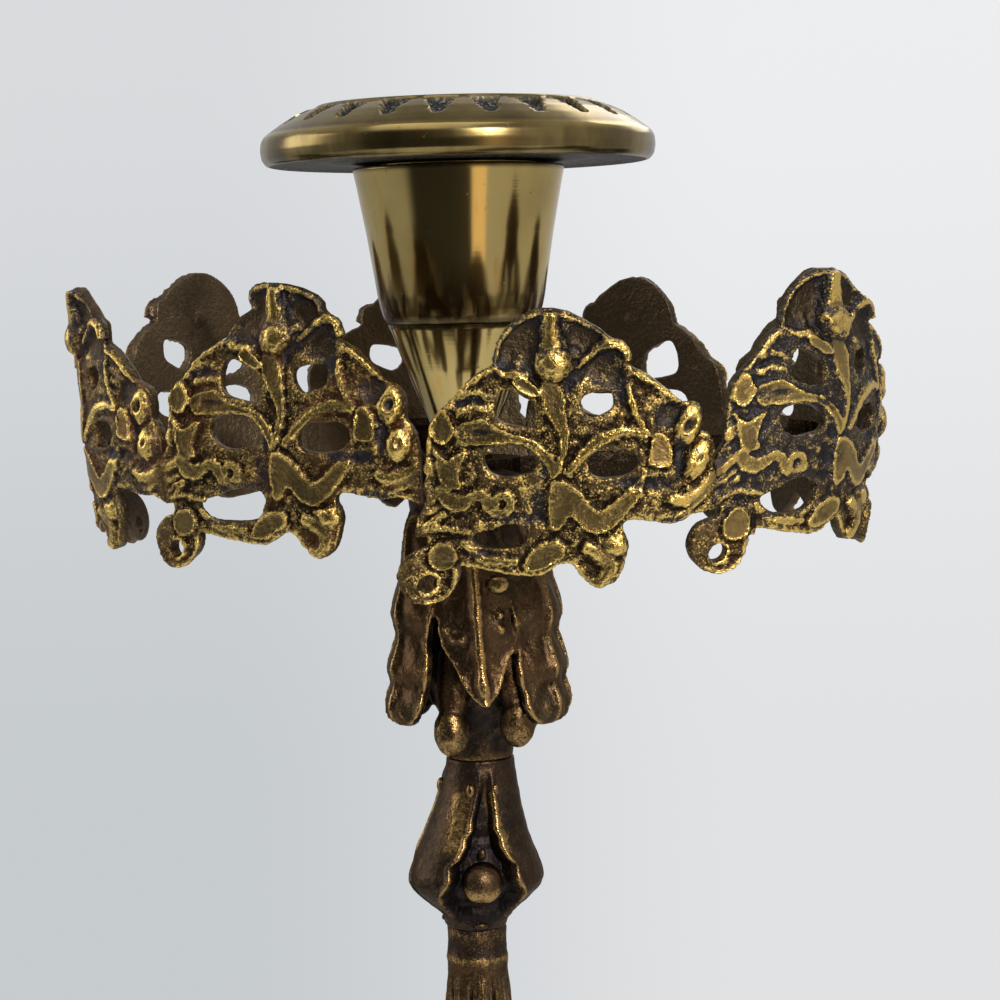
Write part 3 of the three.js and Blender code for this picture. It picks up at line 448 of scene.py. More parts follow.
def cast_brass(name):
    """A sand casting: dark ground with bright grains, plain leaves and rubbed edges."""
    *names, sheen = CASTINGS[name]

    def recipe(paint, colours):
        gold, leaf, sand, rear, deep = (getattr(colours, each) for each in names)
        place = paint.place()
        wear = paint.attribute("wear")
        hollow = paint.attribute("tarnish")
        back = paint.attribute("rear")
        tone = paint.attribute("tone")
        smooth = paint.attribute("smooth")
        fine = paint.noise(place, 3300, 2, 0.65)
        grain = paint.noise(place, 1500, 2, 0.6)
        coarse = paint.noise(place, 600, 2)
        patch = paint.noise(place, 120, 3)
        ground = paint.mix((wear + (grain - 0.5) * 0.35).step(-0.14, 0.04), colours.shadow, sand)
        specks = (fine + wear * 0.5 + (coarse - 0.5) * 0.55).step(0.53, 0.66)
        ground = paint.mix(specks * (0.85 - tone * 0.45), ground, gold)
        plain = paint.mix((grain + coarse + patch * 2 - 2) * 1.3 + 0.6, [c * 0.5 for c in leaf], leaf)
        colour = paint.mix(smooth, ground, plain)
        colour = paint.mix(tone * patch.step(0.35, 0.62) * 0.8, colour, colours.red_brown)
        # The rubbed gold covers real wear, and on the baluster the painted highlights, glints and reflection
        # too.
        rubbed = (wear + (fine - 0.5) * 0.3 + (grain - 0.5) * 0.12 - tone * 0.03).step(0.05, 0.19)
        colour = paint.mix(rubbed * 0.85, colour, gold)
        colour = paint.mix(hollow * (1 - rubbed * 0.75) * (1 - specks * 0.4), colour, deep)
        # Painted light: the plain back is drawn as a 2.6 times brighter copy of the rear colour, in patches,
        # more on some panels than others.
        brassy = paint.attribute("brassy") * patch.step(0.3, 0.6)
        colour = paint.mix(back * 0.96, colour, paint.mix(brassy, rear, [c * 2.6 for c in rear]))
        return paint.surface({
            "Base Color": colour,
            "Roughness": 0.42 - smooth * 0.07 - rubbed * 0.11 + (fine - 0.5) * 0.3 + hollow * 0.06,
            "Metallic": 1 - hollow * 0.15,
            "Specular Tint": (sheen, sheen * 0.94, sheen * 0.88, 1),
            "Normal": paint.bump((fine * 0.5 + grain) * (1.3 - smooth * 0.75), 0.85, 0.0002),
        })

    return new_material(name, recipe)


def turned_brass():
    """Polished brass with old lacquer streaks, drips and stains, a dull film where it isn't rubbed, and
    painted shade: the film also darkens the cup's top under the pan, and the notches' black the pan's
    underside.
    """
    def recipe(paint, colours):
        place = paint.place()
        pit = paint.attribute("pit")
        stain = paint.attribute("stain")
        cloud = paint.noise(place, 60, 3)
        film = paint.attribute("film")
        smear = paint.noise(paint.stretched(place, 160, 160, 60), 1, 3, 0.6)
        streak = paint.noise(paint.stretched(place, 700, 700, 45), 1, 2)
        drip = paint.noise(paint.stretched(place, 520, 520, 40), 1, 2)
        lathe = paint.noise(paint.stretched(place, 30, 30, 5200), 1, 2)
        specks = paint.noise(place, 900, 2).step(0.7, 0.78)
        dull = [c * 0.42 for c in colours.polished]
        warm = [colours.polished[0] * 0.95, colours.polished[1] * 0.62, colours.polished[2] * 0.35]
        colour = paint.mix(cloud.step(0.35, 0.75) * 0.5, colours.polished, dull)
        colour = paint.mix(streak.step(0.55, 0.72) * 0.45, colour, warm)
        colour = paint.mix(drip.step(0.5, 0.56) * stain * 0.85, colour, colours.shadow)
        colour = paint.mix(drip.step(0.36, 0.5) * stain * 0.35, colour, colours.red_brown)
        colour = paint.mix(specks * 0.4, colour, colours.shadow)
        colour = paint.mix(film * (smear.step(0.3, 0.65) * 0.35 + 0.6), colour, colours.grime)
        # The notches' dark colour below also paints the shade on the pan's underside.
        scratch = paint.noise(place, 1900, 3, 0.7)
        cut_brass = paint.mix(scratch.step(0.48, 0.72), PIT_BLACK, PIT_GREY)
        colour = paint.mix(pit, colour, cut_brass)
        rough = 0.09 + cloud * 0.08 + specks * 0.2 + pit * 0.4 + stain * 0.1 + film * 0.1
        return paint.surface({
            "Base Color": colour,
            "Roughness": rough,
            "Metallic": 1 - pit * 0.3,
            "Normal": paint.bump(lathe, 0.04, 0.0001),
        })

    return new_material("turned_brass", recipe)


def marble():
    def recipe(paint, colours):
        place = paint.place()
        warp = paint.noise(place, 18, 4, 0.6)
        warped = paint.add("ShaderNodeVectorMath", {"operation": "ADD"}, {0: place, 1: warp})
        off = paint.noise(warped, 24, 5, 0.62) - 0.5
        line = 1 - off.sum("ABSOLUTE", off, 0).step(0.0, 0.035)
        cloud = paint.noise(place, 40, 3)
        grey = [c * 0.86 for c in colours.marble]
        colour = paint.mix(cloud.step(0.35, 0.7) * 0.6, colours.marble, grey)
        colour = paint.mix(line * cloud.step(0.3, 0.62) * 0.75, colour, colours.vein)
        return paint.surface({
            "Base Color": colour,
            "Roughness": 0.24 + cloud * 0.12,
            "Coat Weight": 0.15,
            "Normal": paint.bump(paint.noise(place, 700, 2), 0.05, 0.0002),
        })

    return new_material("marble", recipe)


def iron():
    def recipe(paint, colours):
        place = paint.place()
        rust = paint.noise(place, 300, 4).step(0.5, 0.68)
        colour = paint.mix(rust * 0.7, colours.iron, RUST)
        return paint.surface({
            "Base Color": colour,
            "Roughness": 0.45 + rust * 0.3,
            "Metallic": 1 - rust * 0.6,
            "Normal": paint.bump(paint.noise(place, 1500, 3), 0.3, 0.0001),
        })

    return new_material("iron", recipe)


# Mesh tools. Everything is modelled in millimetres.


def alone(piece):
    """Makes a piece the only selected and active object."""
    bpy.ops.object.select_all(action="DESELECT")
    piece.select_set(True)
    bpy.context.view_layer.objects.active = piece


def drawn(name, corners, edges, faces):
    mesh = bpy.data.meshes.new(name)
    mesh.from_pydata(corners, edges, faces)
    piece = bpy.data.objects.new(name, mesh)
    bpy.context.scene.collection.objects.link(piece)
    alone(piece)
    return piece


def corners_of(piece):
    flat = np.zeros(len(piece.data.vertices) * 3)
    piece.data.vertices.foreach_get("co", flat)
    return flat.reshape(-1, 3)


def put_corners(piece, points):
    piece.data.vertices.foreach_set("co", np.asarray(points, float).ravel())
    piece.data.update()


def normals_of(piece):
    flat = np.zeros(len(piece.data.vertices) * 3)
    piece.data.vertex_normals.foreach_get("vector", flat)
    return flat.reshape(-1, 3)


def mark(piece, **marks):
    """Gives each corner the values that the materials read."""
    count = len(piece.data.vertices)
    for name, values in marks.items():
        layer = piece.data.attributes.new(name, "FLOAT", "POINT")
        layer.data.foreach_set("value", np.broadcast_to(values, count).astype(np.float32))


def around(points, middle=0.0):
    """Radius and angle of each corner about an axis at the given X. Angle 0 is the front."""
    across = points[:, 0] - middle
    return np.hypot(across, points[:, 1]), np.arctan2(across, -points[:, 1])


def outwards(angle):
    """Direction away from the stem's axis. Angle 0 is the front, and it turns to the right."""
    return Vector((math.sin(angle), -math.cos(angle), 0))


def proudness(piece, rounds=14):
    """How far each corner stands out from its surroundings along the normal."""
    points = corners_of(piece)
    pairs = np.zeros(len(piece.data.edges) * 2, int)
    piece.data.edges.foreach_get("vertices", pairs)
    ends = np.concatenate([pairs[0::2], pairs[1::2]])
    others = np.concatenate([pairs[1::2], pairs[0::2]])
    count = np.maximum(np.bincount(ends, minlength=len(points)), 1)
    smooth = points.copy()
    for _ in range(rounds):
        sums = [np.bincount(ends, weights=smooth[others, axis], minlength=len(points)) for axis in range(3)]
        smooth = np.stack(sums, axis=1) / count[:, None]
    return ((points - smooth) * normals_of(piece)).sum(axis=1)


def ease(values, low, high):
    """A smooth share, from 0 at low to 1 at high."""
    share = np.clip((np.asarray(values, float) - low) / (high - low), 0, 1)
    return share * share * (3 - 2 * share)


def rounded(outline, times=2):
    """Cuts the corners of a closed outline."""
    points = np.array(outline, float)
    for _ in range(times):
        after = np.roll(points, -1, axis=0)
        points = np.stack([0.75 * points + 0.25 * after, 0.25 * points + 0.75 * after], axis=1).reshape(-1, 2)
    return points


def followed(line, values, count):
    """Even points along a line, with values that run along it."""
    line = np.array(line, float)
    lengths = np.concatenate([[0], np.cumsum(np.hypot(*np.diff(line, axis=0).T))])
    at = np.linspace(0, lengths[-1], count)
    xs = np.interp(at, lengths, line[:, 0])
    ys = np.interp(at, lengths, line[:, 1])
    for _ in range(2):
        xs[1:-1] = (xs[:-2] + 2 * xs[1:-1] + xs[2:]) / 4
        ys[1:-1] = (ys[:-2] + 2 * ys[1:-1] + ys[2:]) / 4
    sizes = np.interp(np.linspace(0, 1, count), np.linspace(0, 1, len(values)), values)
    return np.stack([xs, ys], axis=1), sizes


def direction_of(line):
    """Direction of a line at each of its points."""
    tangent = np.gradient(line, axis=0)
    return tangent / (np.hypot(*tangent.T)[:, None] + 1e-9)


def sides_of(line, widths):
    tangent = direction_of(line)
    across = np.stack([-tangent[:, 1], tangent[:, 0]], axis=1) * widths[:, None] / 2
    return line + across, line - across


def facing_out(piece):
    """Turns the faces of the active piece outwards."""
    bpy.ops.object.mode_set(mode="EDIT")
    bpy.ops.mesh.select_all(action="SELECT")
    bpy.ops.mesh.normals_make_consistent(inside=False)
    bpy.ops.object.mode_set(mode="OBJECT")
    return piece


def slab(outline, low, high, rim=0.0, dip=0.0):
    """A flat plate of an outline. With a rim, the top inside it is lowered by the dip."""
    corners = [(x, y, low) for x, y in outline]
    piece = drawn("slab", corners, [], [range(len(corners))])
    bpy.ops.object.mode_set(mode="EDIT")
    bpy.ops.mesh.select_all(action="SELECT")
    bpy.ops.mesh.extrude_region_move(TRANSFORM_OT_translate={"value": (0, 0, high - low)})
    if rim:
        bpy.ops.mesh.inset(thickness=rim, depth=0)
        bpy.ops.transform.translate(value=(0, 0, -dip))
    return facing_out(piece)


def rib(line, widths, low, height):
    """A rounded bead that follows a line on the ground."""
    steps = 12
    line, widths = followed(line, widths, max(6, 3 * len(line)))
    tangent = direction_of(line)
    corners = []
    for (x, y), (tx, ty), width in zip(line, tangent, widths):
        for k in range(steps):
            side = math.cos(TAU * k / steps) * width / 2
            corners.append((x - ty * side, y + tx * side, low + math.sin(TAU * k / steps) * height))
    faces = []
    for i in range(len(line) - 1):
        for k in range(steps):
            after = (k + 1) % steps
            faces.append((i * steps + k, i * steps + after, (i + 1) * steps + after, (i + 1) * steps + k))
    faces.append(tuple(range(steps)))
    faces.append(tuple(range(len(corners) - steps, len(corners))))
    return facing_out(drawn("rib", corners, [], faces))


def egg(middle, radii, turn=0.0, tip=0.0, fine=20):
    """A ball with three half sizes, tipped about X and then turned about Z, in radians."""
    bpy.ops.object.select_all(action="DESELECT")
    bpy.ops.mesh.primitive_uv_sphere_add(segments=fine, ring_count=fine * 2 // 3, radius=1)
    piece = bpy.context.active_object
    sized = Matrix.LocRotScale(Vector(middle), Matrix.Identity(3), Vector(radii))
    turned = Matrix.Rotation(turn, 4, "Z") @ Matrix.Rotation(tip, 4, "X")
    piece.data.transform(Matrix.Translation(middle) @ turned @ Matrix.Translation(-Vector(middle)) @ sized)
    return piece


def egg_at(turn, out, height, radii, tip=0.0, fine=16):
    """A ball at an angle round the stem, at a distance from its axis and a height."""
    return egg(outwards(turn) * out + Vector((0, 0, height)), radii, turn, tip, fine)


def joined(pieces, name):
    bpy.ops.object.select_all(action="DESELECT")
    for piece in pieces:
        piece.select_set(True)
    bpy.context.view_layer.objects.active = pieces[0]
    if len(pieces) > 1:
        bpy.ops.object.join()
    pieces[0].name = name
    pieces[0].data.name = name
    return pieces[0]


def apply(piece, kind, **settings):
    alone(piece)
    modifier = piece.modifiers.new(kind.lower(), kind)
    for key, value in settings.items():
        setattr(modifier, key, value)
    bpy.ops.object.modifier_apply(modifier=modifier.name)


def cut(piece, tools):
    tool = joined(tools, "tool")
    apply(piece, "BOOLEAN", operation="DIFFERENCE", solver="EXACT", object=tool)
    bpy.data.objects.remove(tool)


def fused(pieces, name, grain, smoothing=2):
    """Melts closed shells into one skin, as a casting has."""
    piece = joined(pieces, name)
    apply(piece, "REMESH", mode="VOXEL", voxel_size=grain)
    apply(piece, "SMOOTH", factor=0.5, iterations=smoothing)
    return piece


def spun(name, profile, steps):
    """Turns a profile of radius and height, from axis to axis or closed on itself, into a round piece."""
    corners = [(radius, 0, height) for radius, height in profile]
    piece = drawn(name, corners, [(i, i + 1) for i in range(len(corners) - 1)], [])
    turn = {"axis": "Z", "angle": TAU, "steps": steps, "render_steps": steps}
    apply(piece, "SCREW", use_merge_vertices=True, merge_threshold=0.001, **turn)
    return facing_out(piece)


def sampled(points, gap):
    """A profile with extra points, so that none are further apart than the gap."""
    out = [points[0]]
    for (r0, z0), (r1, z1) in zip(points, points[1:]):
        pieces = max(1, math.ceil(math.hypot(r1 - r0, z1 - z0) / gap))
        out += [(r0 + (r1 - r0) * k / pieces, z0 + (z1 - z0) * k / pieces) for k in range(1, pieces + 1)]
    return out


def softened(points, gap=0.4, rounds=3):
    """A sampled profile whose corners are eased. Its ends stay where they are."""
    line = np.array(sampled(points, gap))
    for _ in range(rounds):
        line[1:-1] = (line[:-2] + 2 * line[1:-1] + line[2:]) / 4
    return [tuple(p) for p in line]


def raised(rows, base):
    """A profile whose heights are counted from a base."""
    return [(radius, base + height) for radius, height in rows]


def noise_at(places):
    """Soft noise around 0 at each place."""
    return np.array([noise.noise(place) for place in places])


def shaped(piece, change):
    """Moves each corner to the radius that change(angle, height, radius) gives."""
    points = corners_of(piece)
    radius, angle = around(points)
    share = np.where(radius > 0.01, change(angle, points[:, 2], radius) / np.maximum(radius, 0.01), 1)
    points[:, 0] *= share
    points[:, 1] *= share
    put_corners(piece, points)


def sanded(piece, amount, size, seed, keep=1.0):
    """Moves corners along their normals by a coarse and a fine grain, as far as the keep says."""
    points = corners_of(piece)
    offset = Vector((seed * 17.3, seed * 5.1, seed * 9.7))
    coarse = noise_at(Vector(p) / size + offset for p in points)
    fine = noise_at(Vector(p) * 2.3 / size + offset for p in points)
    put_corners(piece, points + normals_of(piece) * ((coarse + 0.6 * fine) * amount * keep)[:, None])


def finished(piece, body, material, nodes, angle=50):
    """Scales a piece to metres, hangs it on its body's empty, and hides the CAD nodes that it stands for."""
    piece.data.transform(Matrix.Scale(METRES, 4))
    piece.data.materials.clear()
    piece.data.materials.append(material)
    alone(piece)
    bpy.ops.object.shade_smooth_by_angle(angle=math.radians(angle))
    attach(piece, body)
    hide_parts(*nodes)


def dressed(node, material):
    """Gives a CAD node its material."""
    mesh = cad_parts[node].data
    mesh.materials.clear()
    mesh.materials.append(material)


# The gallery.


def plan_line():
    """Points of the strip's plan at equal steps of the CAD's curve, and the distance along it at each."""
    knots = [np.array(p, float) for pair in zip(PANEL_MIDDLES, PANEL_JOINTS) for p in pair]
    count = len(knots)
    steps = 45
    points = []
    for i in range(count):
        before, start, end, after = (knots[(i + k) % count] for k in (-1, 0, 1, 2))
        gaps = [math.dist(a, b) ** 0.5 for a, b in ((before, start), (start, end), (end, after))]
        chord = (end - start) / gaps[1]
        leave = (start - before) / gaps[0] - (end - before) / (gaps[0] + gaps[1]) + chord
        reach = chord - (after - start) / (gaps[1] + gaps[2]) + (after - end) / gaps[2]
        leave, reach = leave * gaps[1], reach * gaps[1]
        for k in range(steps):
            t = k / steps
            points.append(start + leave * t + (3 * (end - start) - 2 * leave - reach) * t ** 2
                          + (2 * (start - end) + leave + reach) * t ** 3)
    points = np.array(points + [points[0]])
    lengths = np.concatenate([[0], np.cumsum(np.hypot(*np.diff(points, axis=0).T))])
    return points, lengths, [lengths[2 * steps * i] for i in range(count // 2)]


PLAN, PLAN_LENGTHS, PANEL_DISTANCES = plan_line()
RING = PLAN_LENGTHS[-1]


def middle_of(index):
    """Distance of a panel's middle along the strip, also past its ends."""
    return PANEL_DISTANCES[index % PANELS] + RING * (index // PANELS)


def on_ring(distance):
    """Places and outward directions at distances along the strip."""
    def at(d):
        return np.stack([np.interp(d % RING, PLAN_LENGTHS, PLAN[:, k]) for k in (0, 1)], axis=1)

    tangent = at(distance + 0.4) - at(distance - 0.4)
    tangent /= np.hypot(*tangent.T)[:, None]
    return at(distance), np.stack([tangent[:, 1], -tangent[:, 0]], axis=1)


def on_panel(index, along, up, out):
    """Bends points of a flat panel to the ring, as the CAD does."""
    left = along < 0
    gap = np.where(left, middle_of(index) - middle_of(index - 1), middle_of(index + 1) - middle_of(index))
    reach = along * (gap - CLEARANCE) / (PANEL_LEFT + PANEL_RIGHT)
    share = np.abs(reach) / gap
    lapped = np.where(left, index == 0, index == PANELS - 1)
    give = np.where(lapped, 0, ease(share, *NECK_SHARES))
    other = np.where(left, (index - 1) % PANELS, (index + 1) % PANELS)
    rises = np.array(PANEL_RISES)
    leans = np.array(PANEL_LEANS)
    hang = (1 - ease(share, NECK_SHARES[0], 0.5)) * math.tan(math.radians(PANEL_TURNS[index]))
    # The lobe with the eye stays flat, so all of it rises as its middle does.
    lobe = (1 - ease(up, LOBE_TOP, NECK_FOOT)) * (along < LOBE_RIGHT)
    at_loop = (LOBE[0] - along) * (gap - CLEARANCE) / (PANEL_LEFT + PANEL_RIGHT) * lobe
    loop_give = np.where(lapped, 0, ease(np.abs(reach + at_loop) / gap, *NECK_SHARES))
    rise = rises[index] * (1 - loop_give) + rises[other] * loop_give - (reach + at_loop) * hang
    lean_above = leans[index] * (1 - give) + leans[other] * give
    above = ease(up, *LEAN_CHANGE)
    lean = np.radians(lean_above * above + DROP_LEAN * (1 - above))
    ends = ease(share, *LAP_SHARES)
    out = out + np.where(lapped & left, LAP_FRONT * ends, 0) - np.where(lapped & ~left, LAP_BACK * ends, 0)
    place, outward = on_ring(middle_of(index) + reach + up * math.tan(math.radians(PANEL_SWAY)))
    stretch = out * np.cos(lean) + up * np.sin(lean)
    height = level("cup_cone", 0) + GALLERY_LEVEL + rise + up * np.cos(lean) - out * np.sin(lean)
    return np.column_stack([place + outward * stretch[:, None], height])


def wider(outline, sizes):
    """An outline stretched about its middle."""
    middle = np.mean(outline, axis=0)
    return [tuple(middle + (np.array(point) - middle) * sizes) for point in outline]


def holes_of(index):
    """Outlines of a panel's holes."""
    upper, middle, foot = HOLE_SIZES[index]
    sizes = (upper, upper, middle, middle, foot)
    return [rounded(wider(hole, size)) for hole, size in zip(HOLES.values(), sizes)]


def ellipse(middle, wide, tall, count=40):
    turns = [TAU * k / count for k in range(count)]
    return [(middle[0] + wide * math.cos(turn), middle[1] + tall * math.sin(turn)) for turn in turns]


def flat_panel(grain, index):
    """One panel as cast, flat, with its front towards +Z."""
    half = PANEL_THICKNESS / 2
    right = PANEL_RIGHT + NECK_OVERLAP
    left = -PANEL_LEFT - NECK_OVERLAP
    top = EDGE_TOP
    ribs = dict(RIBS)
    if index == PANELS - 1:
        start, end = BENT_CAP[0][0] + 0.1, BENT_CAP[-1][0]
        top = [p for p in EDGE_TOP if p[0] < start] + BENT_CAP + [p for p in EDGE_TOP if p[0] > end]
        ribs["cap_edge"] = (0.5, [0.6, 0.9, 1.1, 0.8, 0.6], [(x * 0.93, y - 0.5) for x, y in BENT_CAP[4:14]])
    edge = [(left, NECK_TOP), *top, (right, NECK_TOP), (right, NECK_FOOT), *EDGE_FOOT, LOBE]
    plate = slab([*edge, (LOBE[0], NECK_FOOT), (left, NECK_FOOT)], -half, half)
    cut(plate, [slab(hole, -2, 2) for hole in holes_of(index)])
    pieces = [plate, slab(ellipse(LOBE, *LOBE_SIZES), -half, half)]
    for height, outline in LEAVES.values():
        pieces.append(slab(rounded(outline, 1), 0, half + height, *LEAF_RIM))
    for height, widths, line in RIBBONS.values():
        line, widths = followed(line, widths, 4 * len(line))
        one, other = sides_of(line, widths)
        pieces.append(slab(np.concatenate([one, other[::-1]]), 0, half + height, *RIBBON_RIM))
    for height, widths, line in ribs.values():
        pieces.append(rib(line, widths, half, height))
    for (x, y), (wide, tall), height in EGGS.values():
        pieces.append(egg((x, y, half), (wide, tall, height)))
    for middle, radius, height in DISCS.values():
        pieces.append(slab(ellipse(middle, radius, radius), 0, half + height, *DISC_RIM))
    panel = fused(pieces, f"gallery_panel_{index + 1}_cast", grain)
    cut(panel, [slab(ellipse(EYE, EYE_RADIUS, EYE_RADIUS), -3, 3)])
    return panel


def sunk(points):
    """Lowers the hollows of the front, and says how dark each corner is."""
    dark = np.zeros(len(points))
    front = ease(points[:, 2], 0.0, 0.6)
    for (x, y), (wide, tall), depth, shade in HOLLOWS:
        near = np.exp(-(((points[:, 0] - x) / wide) ** 2 + ((points[:, 1] - y) / tall) ** 2) ** 2)
        points[:, 2] -= near * depth * front
        dark = np.maximum(dark, near * shade)
    wave = noise_at(Vector((x / 5, y / 5, 3)) for x, y, _ in points)
    points[:, 2] += wave * 0.25
    return points, dark


def gallery_panel(index):
    """Casts one panel flat, presses in its hollows, roughens its ground and bends it to its place."""
    sizes = bpy.context.scene.girandole_sizes
    piece = flat_panel(sizes.gallery_grain, index)
    points, dark = sunk(corners_of(piece))
    front = ease(points[:, 2], -0.1, 0.5)
    facing = normals_of(piece)[:, 2]
    aside = np.abs(points[:, 0] - PANEL_CENTRE)
    # The ground is combed along the strip beside the necks.
    comb = noise_at(Vector((x / 2.8, y / 0.42, index + 8)) for x, y, _ in points)
    comb *= ease(aside, 11, 15) * ease(facing, 0.5, 0.9) * (1 - ease(points[:, 2], 1.0, 1.15))
    points[:, 2] += 0.18 * comb * front
    put_corners(piece, points)
    leaf = ease(points[:, 2], 1.1, 1.3) * ease(facing, 0.86, 0.97)
    sanded(piece, sizes.sand, 0.8, index + 1, (0.15 + 0.85 * front) * (1 - 0.85 * leaf))
    wear = np.minimum(proudness(piece) * 1.3, 0.2) * (1 - ease(aside, 18, 19))
    # The rims of the holes and of the panel itself aren't rubbed, as the relief is.
    edges = np.concatenate(holes_of(index))
    near = np.min([np.hypot(points[:, 0] - x, points[:, 1] - y) for x, y in edges], axis=0)
    rim = np.maximum(1 - ease(facing, 0.5, 0.9), 1 - ease(near, 0.9, 1.5))
    wear -= np.maximum(wear, 0) * 0.8 * rim * (1 - ease(points[:, 2], 1.0, 1.2))
    cap = ease(points[:, 1], 12.5, 15) * (1 - 0.9 * leaf)
    dark = np.maximum(np.maximum(dark, 0.6 * cap), PANEL_TARNISH[index] * ease(points[:, 1], -13, -4))
    mark(piece, wear=wear + 0.03 * leaf - 0.05 * cap, tarnish=dark * front * (1 - leaf), rear=1 - front)
    mark(piece, tone=PANEL_TONES[index], brassy=PANEL_REARS[index], smooth=leaf)
    points = corners_of(piece)
    points[:, 0] += CAP_SHIFTS[index] * ease(points[:, 1], 11, 16)
    if index == 0:
        # The strip's free end is drawn in between its neck and its foot.
        points[:, 0] += 1.5 * ease(-points[:, 0], 15.5, 17.5) * np.exp(-((points[:, 1] + 2.6) / 2.2) ** 2)
    put_corners(piece, on_panel(index, *points.T))
    finished(piece, "stand", cast_brass("gallery_brass"), [f"gallery_panel_{index + 1}"], 80)


class GIRANDOLE_OT_gallery(bpy.types.Operator):
    """Models the gallery's panels flat, each a little different, and bends each to its place on the ring"""

    bl_idname = "girandole.gallery"
    bl_label = "Gallery"

    def execute(self, context):
        for index in range(PANELS):
            gallery_panel(index)
        dressed("gallery_spider", cast_brass("spider_brass"))
        return {"FINISHED"}


# Stem castings.

STEM_TURN = math.radians(9)
NECK_SHIFT = 1.1  # how far the baluster's neck is bent to the right
PETALS = 8  # round each casting of the lower stem
SHELLS = 3  # round the baluster
# Profiles of the stem castings: radius, and share of the height.
PROFILES = {
    "foot_mount": [
        (32.6, 0), (33, 0.02), (33, 0.05), (32.2, 0.08), (31.8, 0.1), (31.2, 0.13), (29.2, 0.15),
        (28.6, 0.17), (27.8, 0.24), (25.8, 0.32), (22.8, 0.4), (19.4, 0.47), (16, 0.54), (13.2, 0.61),
        (10.6, 0.68), (8.8, 0.74), (7.6, 0.8), (7.2, 0.84), (8.6, 0.87), (9.8, 0.9), (10, 0.93), (9.6, 0.96),
        (8.8, 0.975), (8.8, 1),
    ],
    "lower_vase": [
        (7, 0), (6.9, 0.02), (6.4, 0.05), (7.6, 0.1), (9.6, 0.17), (11.8, 0.25), (13, 0.32), (13, 0.37),
        (12.1, 0.44), (10, 0.55), (8.1, 0.66), (6.4, 0.76), (5.6, 0.83), (5.5, 0.86), (6.8, 0.89),
        (7.8, 0.92), (7.9, 0.95), (7.2, 0.975), (7, 1),
    ],
    "stem_knop": [
        (7, 0), (6.9, 0.08), (8.2, 0.16), (10.4, 0.27), (12, 0.38), (12.5, 0.47), (12, 0.57), (10.4, 0.66),
        (8.4, 0.75), (7.6, 0.81), (8.4, 0.86), (8.9, 0.9), (8.8, 0.95), (7.9, 0.98), (7.6, 1),
    ],
    "upper_shaft": [
        (7.5, 0), (7.2, 0.02), (7, 0.05), (7.8, 0.08), (8.5, 0.12), (8.3, 0.17), (7.5, 0.24), (6.9, 0.34),
        (6.3, 0.48), (5.7, 0.62), (5.0, 0.76), (4.6, 0.86), (4.45, 0.905), (4.4, 0.925), (4.55, 0.936),
        (4.6, 0.941), (4.45, 0.947), (4.35, 0.955), (4.3, 0.975), (4.4, 1),
    ],
    "baluster": [
        (4.4, 0), (4.6, 0.04), (5.1, 0.085), (6, 0.12), (7, 0.152), (8.2, 0.195), (9.3, 0.24), (9.8, 0.285),
        (9.6, 0.34), (8.8, 0.428), (8.1, 0.5), (7.4, 0.566), (6.8, 0.64), (6.3, 0.7), (5.9, 0.77),
        (5.5, 0.84), (5.2, 0.91), (5, 0.97), (5, 1),
    ],
}


def stem_heights(node):
    """Foot and top of a stem casting, which close most of the gap to the next one."""
    return level(node, 0) - CLEARANCE * 0.4, level(node, 1) + CLEARANCE * 0.4


def stem_profile(node):
    """A stem casting's profile in millimetres, closed on the axis."""
    low, high = stem_heights(node)
    rows = [(radius, low + share * (high - low)) for radius, share in PROFILES[node]]
    return [(0, low), *rows, (0, high)]


def petals(angle, count, turn):
    """Share of the way across a petal, -0.5 to 0.5 from edge to edge."""
    share = (angle - turn) * count / TAU
    return share - np.round(share)


def leafed(node, depth, reach, steps=256, gap=0.5, turn=STEM_TURN, collar=0.0):
    """A turned casting that swells into petals, with a vein down each, over the reach of its height.

    A collar of the given height at its top is dark.
    """
    piece = spun(node + "_cast", softened(stem_profile(node), gap, 2), steps)
    low, high = stem_heights(node)

    def change(angle, height, radius):
        share = (height - low) / (high - low)
        hold = ease(share, reach[0], reach[0] + 0.08) * (1 - ease(share, reach[1] - 0.08, reach[1]))
        across = petals(angle, PETALS, turn)
        swell = 1 - (2 * across) ** 2
        groove = np.exp(-((np.abs(across) - 0.5) / 0.06) ** 2)
        vein = np.exp(-(across / 0.045) ** 2)
        side = np.exp(-((np.abs(across) - 0.25) / 0.05) ** 2)
        teeth = 0.5 + 0.5 * np.cos(share * 46 + np.abs(across) * 9)
        lift = depth * (swell - 0.6 - 0.9 * groove + 0.35 * vein - 0.22 * side * teeth)
        return radius + np.where(radius > 3, hold * lift, 0)

    shaped(piece, change)
    sanded(piece, 0.07, 1.4, 8)
    heights = corners_of(piece)[:, 2]
    ends = ease(heights, low, low + 2.5) * (1 - ease(heights, high - 2.5, high))
    dark = 0.65 * ease(heights, high - collar, high - collar + 0.5) if collar else 0
    mark(piece, wear=proudness(piece, 20) * 1.3 * ends + 0.01, tarnish=dark, tone=0.5, smooth=0.65)
    finished(piece, "stand", cast_brass("stem_brass"), [node], 60)


class GIRANDOLE_OT_stem(bpy.types.Operator):
    """Turns the foot, the vase, the knop and the shaft, and gives them leaves"""

    bl_idname = "girandole.stem"
    bl_label = "Stem"

    def execute(self, context):
        leafed("foot_mount", 1.5, (0.16, 0.74), 320, turn=TAU / PETALS / 2)
        leafed("lower_vase", 0.9, (0.06, 0.84))
        leafed("stem_knop", 1.1, (0.1, 0.8), gap=0.35)
        leafed("upper_shaft", 0.5, (0.05, 0.93), collar=4.6)
        return {"FINISHED"}


